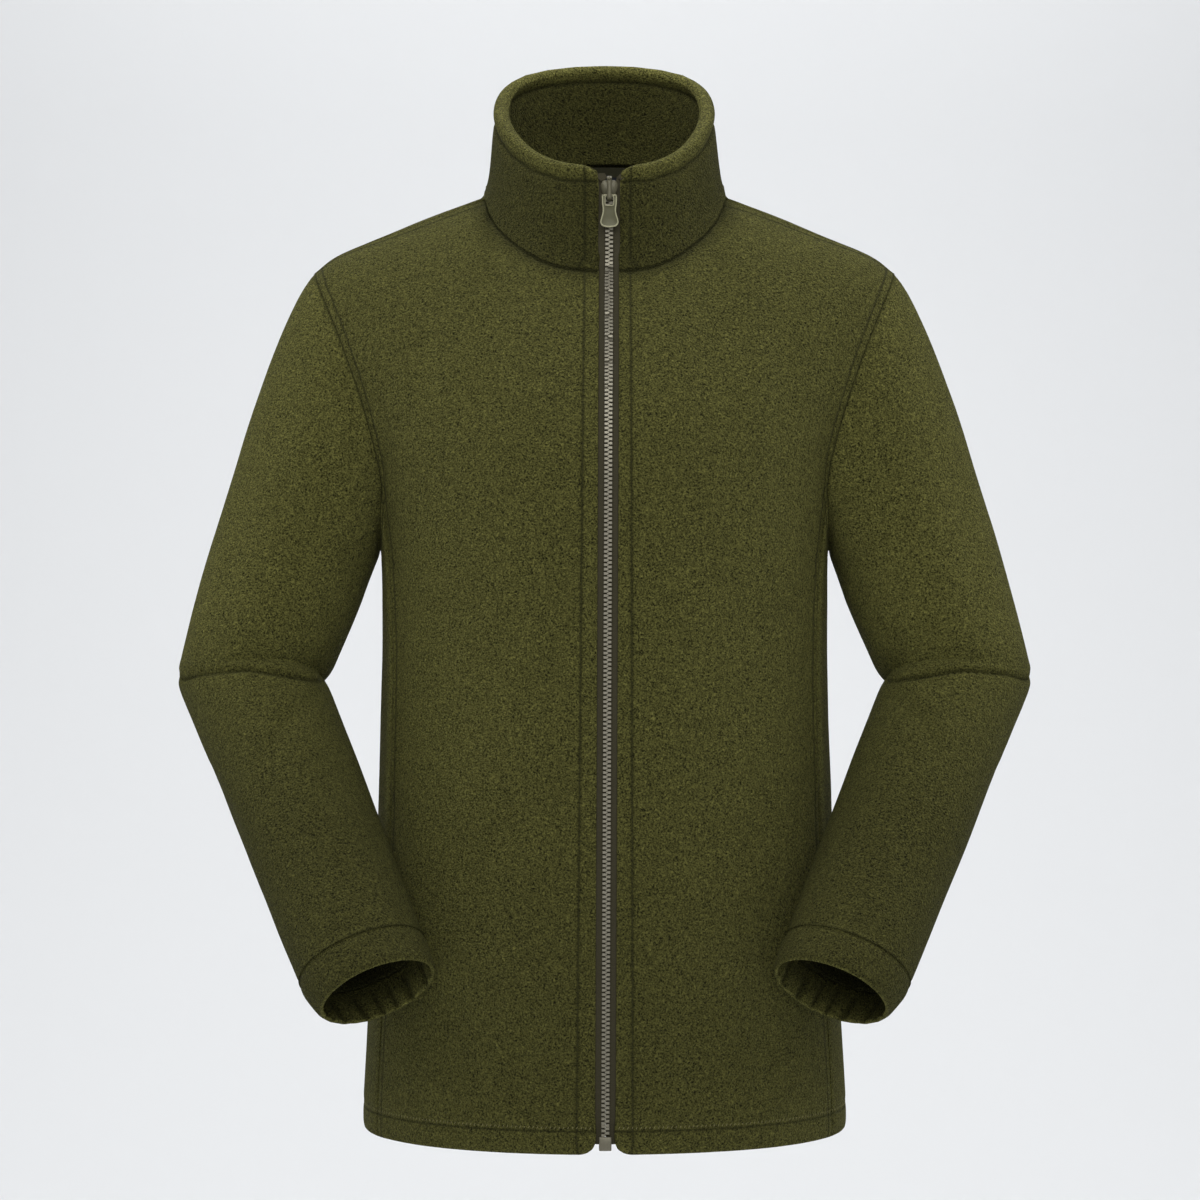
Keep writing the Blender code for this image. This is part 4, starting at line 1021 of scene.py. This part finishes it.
# Each line below darkens its groove with painted shade.
sewnLines = [  # edge, offset, half width, depth
    ("armEdge", 0.0, 0.0009, 0.0006), ("armEdge", sewing["arm"], 0.0009, 0.0009),
    ("hemEdge", sewing["hemSecond"], 0.0009, 0.0006), ("sideEdge", sewing["side"], 0.0011, 0.0007),
    ("shoulderEdge", sewing["shoulder"], 0.0012, 0.0008), ("cuffEdge", 0.0, 0.0011, 0.0006),
    ("zipLine", 0.0, 0.0012, 0.0008), ("rimLine", 0.0, 0.0013, 0.0010), ("elbowFold", 0.0, 0.0011, 0.0012),
    ("neckEdge", 0.0, 0.0022, 0.0012),
]
fleece = makeFleece("fleece", sewnLines)
for side in ("left", "right"):
    clothPiece("front_" + side, ["front_" + side], 3, fleece)
    clothPiece("sleeve_" + side, ["sleeve_" + side], 3, fleece)
    clothPiece("cuff_" + side, ["cuff_" + side], 2, fleece)
clothPiece("back", ["back"], 3, fleece)
clothPiece("collar", ["collar_outer", "collar_inner"], 3, fleece)
print("cloth pieces made")


def makeRepeatTree():
    # One copy of a shape at each point, its length along "along" and its top along "up".
    tree = bpy.data.node_groups.new("repeat", "GeometryNodeTree")
    tree.interface.new_socket("Geometry", in_out="INPUT", socket_type="NodeSocketGeometry")
    shape = tree.interface.new_socket("Shape", in_out="INPUT", socket_type="NodeSocketObject").identifier
    look = tree.interface.new_socket("Look", in_out="INPUT", socket_type="NodeSocketMaterial").identifier
    tree.interface.new_socket("Geometry", in_out="OUTPUT", socket_type="NodeSocketGeometry")
    given, result = tree.nodes.new("NodeGroupInput"), tree.nodes.new("NodeGroupOutput")
    info = tree.nodes.new("GeometryNodeObjectInfo")
    turn = tree.nodes.new("FunctionNodeAxesToRotation")
    turn.primary_axis, turn.secondary_axis = "Z", "X"
    for label, socket in (("up", turn.inputs[0]), ("along", turn.inputs[1])):
        read = tree.nodes.new("GeometryNodeInputNamedAttribute")
        read.data_type = "FLOAT_VECTOR"
        read.inputs["Name"].default_value = label
        tree.links.new(read.outputs["Attribute"], socket)
    lay = tree.nodes.new("GeometryNodeInstanceOnPoints")
    realize = tree.nodes.new("GeometryNodeRealizeInstances")
    paint = tree.nodes.new("GeometryNodeSetMaterial")
    tree.links.new(given.outputs["Shape"], info.inputs["Object"])
    tree.links.new(given.outputs["Geometry"], lay.inputs["Points"])
    tree.links.new(info.outputs["Geometry"], lay.inputs["Instance"])
    tree.links.new(turn.outputs["Rotation"], lay.inputs["Rotation"])
    tree.links.new(lay.outputs["Instances"], realize.inputs["Geometry"])
    tree.links.new(realize.outputs["Geometry"], paint.inputs["Geometry"])
    tree.links.new(given.outputs["Look"], paint.inputs["Material"])
    tree.links.new(paint.outputs["Geometry"], result.inputs["Geometry"])
    return tree, shape, look


repeatTree, shapeSocket, lookSocket = makeRepeatTree()


def layRepeats(name, shape, spots, material):
    # spots: (place, up, along). Returns the finished object.
    mesh = bpy.data.meshes.new(name + "Points")
    mesh.from_pydata([list(place) for place, up, along in spots], [], [])
    for k, label in ((1, "up"), (2, "along")):
        values = np.array([list(spot[k]) for spot in spots], np.float32).ravel()
        mesh.attributes.new(label, "FLOAT_VECTOR", "POINT").data.foreach_set("vector", values)
    holder = bpy.data.objects.new(name + "Points", mesh)
    bpy.context.collection.objects.link(holder)
    bpy.context.collection.objects.link(shape)
    lay = holder.modifiers.new("repeat", "NODES")
    lay.node_group = repeatTree
    lay[shapeSocket], lay[lookSocket] = shape, material
    bpy.context.view_layer.update()
    done = bpy.data.meshes.new_from_object(holder.evaluated_get(bpy.context.evaluated_depsgraph_get()))
    for obj in (holder, shape):
        bpy.data.objects.remove(obj)
    obj = bpy.data.objects.new(name, done)
    bpy.context.collection.objects.link(obj)
    print(name, "copies", len(spots))
    return obj


def shapeObject(name, bm, smooth=False):
    mesh = bpy.data.meshes.new(name)
    bm.to_mesh(mesh)
    bm.free()
    if smooth:
        mesh.shade_smooth()
    return bpy.data.objects.new(name, mesh)


stitch = {
    "length": 0.0023, "pitch": 0.0031, "width": 0.00055, "height": 0.00042, "sunk": 0.00005, "slant": 1.1,
}
tack = {"length": 0.006, "count": 7, "x": 0.1520, "inset": 0.002, "raised": 0.0001, "from": 0.3}


def isoLines(obj, kinds, values, level):
    # The lines on the outside of the cloth along which a value is level, with the cloth's normals.
    mesh = obj.data
    verts = mesh.vertices
    crossings, links = {}, {}
    for i in np.where(kinds == 0)[0]:
        ring = mesh.polygons[i].vertices
        heights = [values[v] - level for v in ring]
        if min(heights) >= 0 or max(heights) < 0 or max(heights) > 0.02:
            continue
        cut = []
        for k in range(len(ring)):
            a, b = ring[k], ring[(k + 1) % len(ring)]
            if (heights[k] < 0) != (heights[(k + 1) % len(ring)] < 0):
                key = (min(a, b), max(a, b))
                if key not in crossings:
                    share = (level - values[key[0]]) / (values[key[1]] - values[key[0]])
                    crossings[key] = (verts[key[0]].co.lerp(verts[key[1]].co, share),
                                      verts[key[0]].normal.lerp(verts[key[1]].normal, share).normalized())
                cut.append(key)
        if len(cut) == 2:
            links.setdefault(cut[0], []).append(cut[1])
            links.setdefault(cut[1], []).append(cut[0])
    lines, left = [], set(links)
    while left:
        ends = [key for key in left if len(links[key]) == 1]
        key = ends[0] if ends else next(iter(left))
        line = []
        while key is not None:
            left.discard(key)
            line.append(crossings[key])
            key = next((k for k in links[key] if k in left), None)
        if len(line) > 3:
            lines.append(line)
    return lines


def stitchSpots(line, slant=0.0):
    # Evenly spaced places along a line, with the thread lying along it or across it by a slant.
    spots, gone, due = [], 0.0, stitch["pitch"] / 2
    for (a, up), (b, upNext) in zip(line, line[1:]):
        length = (b - a).length
        while length > 1e-9 and gone + length >= due:
            share = (due - gone) / length
            normal = up.lerp(upNext, share).normalized()
            ahead = (b - a).normalized()
            lie = ahead * cos(slant) + normal.cross(ahead) * sin(slant)
            spots.append((a.lerp(b, share) - normal * stitch["sunk"], normal, lie))
            due += stitch["pitch"]
        gone += length
    return spots


def stitchShape():
    bm = bmesh.new()
    bmesh.ops.create_uvsphere(bm, u_segments=6, v_segments=5, radius=0.5)
    for vert in bm.verts:
        x, y, z = vert.co
        vert.co = (z * stitch["length"], x * stitch["width"], y * stitch["height"])
    return shapeObject("stitch", bm, smooth=True)


thread = makeThread("thread", (0.034, 0.033, 0.011, 1))
hemThread = makeThread("hemThread", (0.200, 0.185, 0.084, 1))
sewnPieces = {
    "front": [("armEdge", "arm"), ("sideEdge", "side"), ("hemEdge", "hem"), ("zipLine", None),
              ("shoulderEdge", "shoulder")],
    "back": [("armEdge", "arm"), ("hemEdge", "hem")],
    "sleeve": [], "collar": [("zipLine", None), ("rimLine", None)], "cuff": [],
}
allSpots, hemSpots = [], []
for pieceName, (obj, kinds, edges) in clothPieces.items():
    for label, key in sewnPieces[pieceName.split("_")[0]]:
        for line in isoLines(obj, kinds, edges[label], sewing[key] if key else 0.0):
            if key == "hem":
                hemSpots += stitchSpots(line, stitch["slant"])
            else:
                allSpots += stitchSpots(line)


def barTack(place, sight):
    # A short dense row of thread across a pocket's end.
    spots = []
    for i in range(tack["count"]):
        start = Vector(place) + Vector((0, 0, (i / (tack["count"] - 1) - 0.5) * tack["length"]))
        hit, normal = clothTop.ray_cast(start - Vector(sight) * tack["from"], Vector(sight))[:2]
        if hit is not None:
            across = normal.cross(Vector((0, 0, 1))).normalized()
            spots.append((hit + normal * tack["raised"], normal, across))
    return spots


clothFaces = bmesh.new()
for pieceName in ("front_left", "front_right", "back"):
    clothFaces.from_mesh(clothPieces[pieceName][0].data)
clothTop = BVHTree.FromBMesh(clothFaces)
clothFaces.free()
for sign in (-1, 1):
    for z in (pocket[0] + tack["inset"], pocket[1] - tack["inset"]):
        allSpots += barTack((sign * tack["x"], 0, z), (0, 1, 0))
for name, spots, look in (("sewing", allSpots, thread), ("hemSewing", hemSpots, hemThread)):
    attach(layRepeats(name, stitchShape(), spots, look), "jacket")
print("stitching laid")

# The tape's own dark olive is darkened further as painted shade for the shadow beside the fleece edges.
tapeLook = makeWoven("tapeCloth", (0.038, 0.033, 0.016, 1), rib=0.0012)
neckTapeLook = makeWoven("neckTapeCloth", (0.030, 0.029, 0.012, 1), rib=0.0007)
labelLook = makeWoven("labelCloth", (0.012, 0.014, 0.020, 1), rib=0.0005)
metalLook = makeMetal("zipMetal", (0.084, 0.077, 0.044, 1), metallic=0.35, rough=0.40)
pullLook = makeMetal("pullPaint", (0.060, 0.057, 0.021, 1), metallic=0.2, rough=0.45)
# Painted highlight: a lighter colour for the pull tab's raised rims.
pullHighlightLook = makeMetal("pullRimHighlight", (0.190, 0.182, 0.110, 1), metallic=0.5, rough=0.34)
boxLook = makeMetal("boxMetal", (0.150, 0.138, 0.098, 1), metallic=0.5, rough=0.36)
toothLook = makeMetal("toothMetal", (0.200, 0.185, 0.140, 1), metallic=0.6, rough=0.42)
chain = {"pitch": 0.0031, "reach": 0.0029, "blockHalf": 0.00106, "blockEnd": -0.0010,
         "headHalf": 0.00060, "head": 0.0006, "height": 0.0020, "round": 0.00025}
tapeEnds = {  # the flaps of the folded tape ends above the slider, by x from the chain's middle and by z
    "zip_tape_left": [(0.0068, 0.0090), (0.0112, 0.0088), (0.0108, 0.0066), (0.0084, 0.0050),
                      (0.0066, 0.0064)],
    "zip_tape_right": [(-0.0100, 0.0094), (-0.0034, 0.0100), (-0.0014, 0.0066), (-0.0046, 0.0034),
                       (-0.0078, 0.0058)],
    "front": -0.0764, "back": -0.0754, "spread": 0.0048, "from": -0.0040, "over": 0.0110, "below": 0.0058,
    "footHeight": 0.001, "cuts": 7, "firstCut": 0.0003, "cutPitch": 0.0018, "reach": 0.0030,
}
labelForm = {"edge": 0.002, "rise": 0.0068, "out": 0.0026}
sliderForm = {  # half outline of the slider's body, from its head down, round the middle of its bridge
    "half": [(0.0012, 0.0056), (0.0034, 0.0061), (0.0052, 0.0048), (0.0062, 0.0022), (0.0058, -0.0002),
             (0.0048, -0.0028), (0.0038, -0.0048), (0.0016, -0.0052)],
    "thick": 0.0019, "edge": 0.0006, "knob": (0.0014, 0.0012, 0.0013), "knobAt": 0.0066,
    "bridgeHalf": 0.0084, "bridgeOut": 0.0047, "bridgeRoot": 0.0004, "bridgeWide": 0.0018,
    "bridgeThick": 0.0013, "bridgeWaist": 0.86,
}
pullForm = {  # half outlines of the pull tab and of its slot, below the pivot
    "half": [(0.0030, -0.0007), (0.0051, -0.0009), (0.0054, -0.0020), (0.0053, -0.0070), (0.0048, -0.0108),
             (0.0050, -0.0140), (0.0063, -0.0186), (0.0065, -0.0210), (0.0050, -0.0233), (0.0018, -0.0241)],
    "slot": [(0.0020, -0.0021), (0.0027, -0.0028), (0.0027, -0.0074), (0.0020, -0.0081)],
    "rim": 0.0010, "slotRim": 0.0007, "sunk": 0.0005, "bevel": 0.00018,
}
boxBevel = 0.0007


def placePiece(node, bm, materials, body, bevel, segments, crisp):
    # Rounds a form's edges and puts it in a node's place.
    work = shapeObject("work", bm)
    for material in materials:
        work.data.materials.append(material)
    bpy.context.collection.objects.link(work)
    if bevel:
        rounding = work.modifiers.new("bevel", "BEVEL")
        rounding.width, rounding.segments, rounding.limit_method = bevel, segments, "ANGLE"
        rounding.angle_limit = radians(35)
    bpy.context.view_layer.update()
    done = bpy.data.meshes.new_from_object(work.evaluated_get(bpy.context.evaluated_depsgraph_get()))
    bpy.data.objects.remove(work)
    done.set_sharp_from_angle(angle=radians(crisp))
    obj = bpy.data.objects.new(node + "Fine", done)
    bpy.context.collection.objects.link(obj)
    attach(obj, body)
    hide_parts(node)


def finePiece(node, material, bevel=0.0, shape=None):
    # A refined copy of a solid in its place, its edges rounded or its form changed.
    bm = cadMesh([node])
    if shape:
        shape(bm)
    placePiece(node, bm, [material], "jacket", bevel, 3, 40)


def smoothRing(half, steps=4):
    # A closed outline from the half on one side, top to bottom, rounded through its points.
    ring = [np.array(p) for p in half + [(-x, z) for x, z in reversed(half)]]
    count = len(ring)
    return [splineAt(*(ring[(k + j) % count] for j in (-1, 0, 1, 2)), i / steps)
            for k in range(count) for i in range(steps)]


def insetRing(ring, amount):
    # The ring drawn in by an amount, each point square to its neighbours.
    inset = []
    for k, here in enumerate(ring):
        way = ring[(k + 1) % len(ring)] - ring[k - 1]
        inset.append(here + np.array((way[1], -way[0])) / np.linalg.norm(way) * amount)
    return inset


def layRing(bm, ring, middle, y):
    return [bm.verts.new((middle.x + p[0], y, middle.z + p[1])) for p in ring]


def joinRings(bm, *rings):
    for first, second in zip(rings, rings[1:]):
        for k in range(len(first)):
            j = (k + 1) % len(first)
            bm.faces.new((first[k], first[j], second[j], second[k]))


def fillRings(bm, *rings):
    # Faces inside the first ring and outside any others.
    edges = [bm.edges.get((ring[k - 1], ring[k])) for ring in rings for k in range(len(ring))]
    bmesh.ops.triangle_fill(bm, edges=edges, use_beauty=True)


def ownPiece(node, bm, materials, body, bevel=0.0):
    # A finished piece from its own form, in a node's place.
    bmesh.ops.recalc_face_normals(bm, faces=bm.faces)
    placePiece(node, bm, materials, body, bevel, 2, 50)


def makeSlider():
    # The body with its two shoulders, the bridge that the tab hangs on, and the knob at the bridge's head.
    form = sliderForm
    low, high = (Vector(corner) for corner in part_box("zip_slider"))
    middle = (low + high) / 2
    bm = bmesh.new()
    ring = smoothRing(form["half"])
    front = high.y - form["thick"]
    rings = [layRing(bm, ring, middle, high.y), layRing(bm, ring, middle, front + form["edge"]),
             layRing(bm, insetRing(ring, form["edge"]), middle, front)]
    joinRings(bm, *rings)
    fillRings(bm, rings[0])
    fillRings(bm, rings[-1])
    loops, steps = [], 20
    for i in range(steps + 1):
        turn = pi * i / steps
        ahead = form["bridgeOut"] * min(1.0, 2.0 * sin(turn))
        z = middle.z + form["bridgeHalf"] * cos(turn)
        wide = form["bridgeWide"] * (form["bridgeWaist"] + (1 - form["bridgeWaist"]) * abs(cos(turn)))
        right = [(wide * 0.7, 1.0), (wide, 0.35), (wide, -0.5)]
        outer = [(-wide, 0.35), (-wide * 0.7, 1.0)] + right + [(-wide, -0.5)]
        loop = []
        for x, share in outer:
            y = front + form["bridgeRoot"] - ahead - share * form["bridgeThick"] / 2 * sin(turn)
            up = z + share * form["bridgeThick"] / 2 * cos(turn)
            loop.append(bm.verts.new((middle.x + x, y, up)))
        loops.append(loop)
    joinRings(bm, *loops)
    bm.faces.new(loops[0])
    bm.faces.new(list(reversed(loops[-1])))
    knob = bmesh.ops.create_uvsphere(bm, u_segments=12, v_segments=8, radius=1.0)["verts"]
    for vert in knob:
        size = Vector(form["knob"])
        vert.co = Vector((middle.x + vert.co.x * size.x, front - form["bridgeOut"] + vert.co.y * size.y,
                          middle.z + form["knobAt"] + vert.co.z * size.z))
    ownPiece("zip_slider", bm, [metalLook], "jacket")


def makePull():
    # The pull tab: a raised border round its edge and its slot, and a sunk plain field between them.
    form = pullForm
    low, high = (Vector(corner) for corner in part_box("zip_pull"))
    pivot = Vector(frame["joints"][0]["pos_m"])
    bm = bmesh.new()
    outer, slot = smoothRing(form["half"]), smoothRing(form["slot"])
    inner, slotRim = insetRing(outer, form["rim"]), insetRing(slot, -form["slotRim"])
    sunk = low.y + form["sunk"]
    border = [layRing(bm, ring, pivot, y) for ring, y in (
        (outer, high.y), (outer, low.y), (inner, low.y), (inner, sunk))]
    hole = [layRing(bm, ring, pivot, y) for ring, y in (
        (slotRim, sunk), (slotRim, low.y), (slot, low.y), (slot, high.y))]
    joinRings(bm, *border)
    joinRings(bm, *hole)
    fillRings(bm, border[-1], hole[0])
    fillRings(bm, border[0], hole[-1])
    # The raised rims' front faces take the painted-highlight colour.
    for face in bm.faces:
        face.material_index = int(all(v.co.y < low.y + 1e-6 for v in face.verts))
    ownPiece("zip_pull", bm, [pullLook, pullHighlightLook], "pull_tab", bevel=form["bevel"])


def foldTapeEnd(node):
    # Parts the tapes above the slider and adds the folded end of each.
    def shape(bm):
        sign = 1 if node.endswith("left") else -1
        form = tapeEnds
        top, bottom = (pick(v.co.z for v in bm.verts) for pick in (max, min))
        for vert in bm.verts:
            vert.co.z -= form["below"] * (vert.co.z < bottom + form["footHeight"])
        for k in range(form["cuts"]):
            cut = Vector((0, 0, top - form["firstCut"] - k * form["cutPitch"]))
            every = bm.verts[:] + bm.edges[:] + bm.faces[:]
            bmesh.ops.bisect_plane(bm, geom=every, plane_co=cut, plane_no=(0, 0, 1))
        for vert in bm.verts:
            beside = abs(vert.co.x - zipMiddle) < form["reach"]
            share = float(ramp((vert.co.z - form["from"]) / form["over"]))
            vert.co.x += sign * form["spread"] * beside * share
        middle = Vector((zipMiddle, 0, 0))
        ring = [np.array(p) for p in form[node]]
        rings = [layRing(bm, ring, middle, form["back"]), layRing(bm, ring, middle, form["front"])]
        joinRings(bm, *rings)
        fillRings(bm, rings[0])
        fillRings(bm, rings[1])
        bmesh.ops.recalc_face_normals(bm, faces=bm.faces)
    return shape


def liftLabel(bm):
    # The label covers the neck tape, up to the seam.
    top = max(v.co.z for v in bm.verts)
    for vert in bm.verts:
        if vert.co.z > top - labelForm["edge"]:
            vert.co.z += labelForm["rise"]
        vert.co.y -= labelForm["out"]


def toothShape():
    # One tooth: a block on the tape and a narrower head that locks between the two across from it.
    bm = bmesh.new()
    outline = [(-chain["reach"], chain["blockHalf"]), (chain["blockEnd"], chain["blockHalf"]),
               (chain["blockEnd"] + 0.0002, chain["headHalf"]), (chain["head"], chain["headHalf"])]
    ring = outline + [(x, -z) for x, z in reversed(outline)]
    low, high = ([bm.verts.new((x, z, y)) for x, z in ring] for y in (-0.0001, chain["height"]))
    bm.faces.new(high)
    bm.faces.new(list(reversed(low)))
    for i in range(len(ring)):
        j = (i + 1) % len(ring)
        bm.faces.new((low[i], low[j], high[j], high[i]))
    bmesh.ops.bevel(bm, geom=[e for e in bm.edges if all(v in high for v in e.verts)], offset=chain["round"],
                    segments=1, affect="EDGES")
    return shapeObject("tooth", bm)


def layTeeth():
    # Teeth from the box up to the slider, turned over by turns, on the chain's own line.
    line = []
    places = [v.co for v in nodes["zip_teeth"].data.vertices]
    heights = sorted({round(p.z, 4) for p in places})
    for z in heights:
        row = [p for p in places if abs(p.z - z) < 0.0006]
        line.append(Vector((sum(p.x for p in row) / len(row), max(p.y for p in row), z)))
    line = [p for i, p in enumerate(line) if i == 0 or (p - line[i - 1]).length > 0.002]
    marks = [line[0] * 2 - line[1]] + line + [line[-1] * 2 - line[-2]]
    smooth = [splineAt(*marks[k - 1:k + 3], i / 8) for k in range(1, len(marks) - 2) for i in range(8)]
    line = smooth + [line[-1]]
    spots, gone, due, turn = [], 0.0, chain["pitch"] / 4, 1
    for a, b in zip(line, line[1:]):
        length = (b - a).length
        along = (b - a).normalized()
        while gone + length >= due:
            share = (due - gone) / length
            up = Vector((0, -along.z, along.y)).normalized()
            spots.append((a.lerp(b, share), up, Vector((turn, 0, 0))))
            turn = -turn
            due += chain["pitch"] / 2
        gone += length
    obj = layRepeats("teeth", toothShape(), spots, toothLook)
    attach(obj, "jacket")
    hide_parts("zip_teeth")


for node in ("zip_tape_left", "zip_tape_right"):
    finePiece(node, tapeLook, shape=foldTapeEnd(node))
finePiece("neck_tape", neckTapeLook)
finePiece("neck_label", labelLook, shape=liftLabel)
layTeeth()
makeSlider()
makePull()
finePiece("zip_box", boxLook, bevel=boxBevel)
print("zip made")
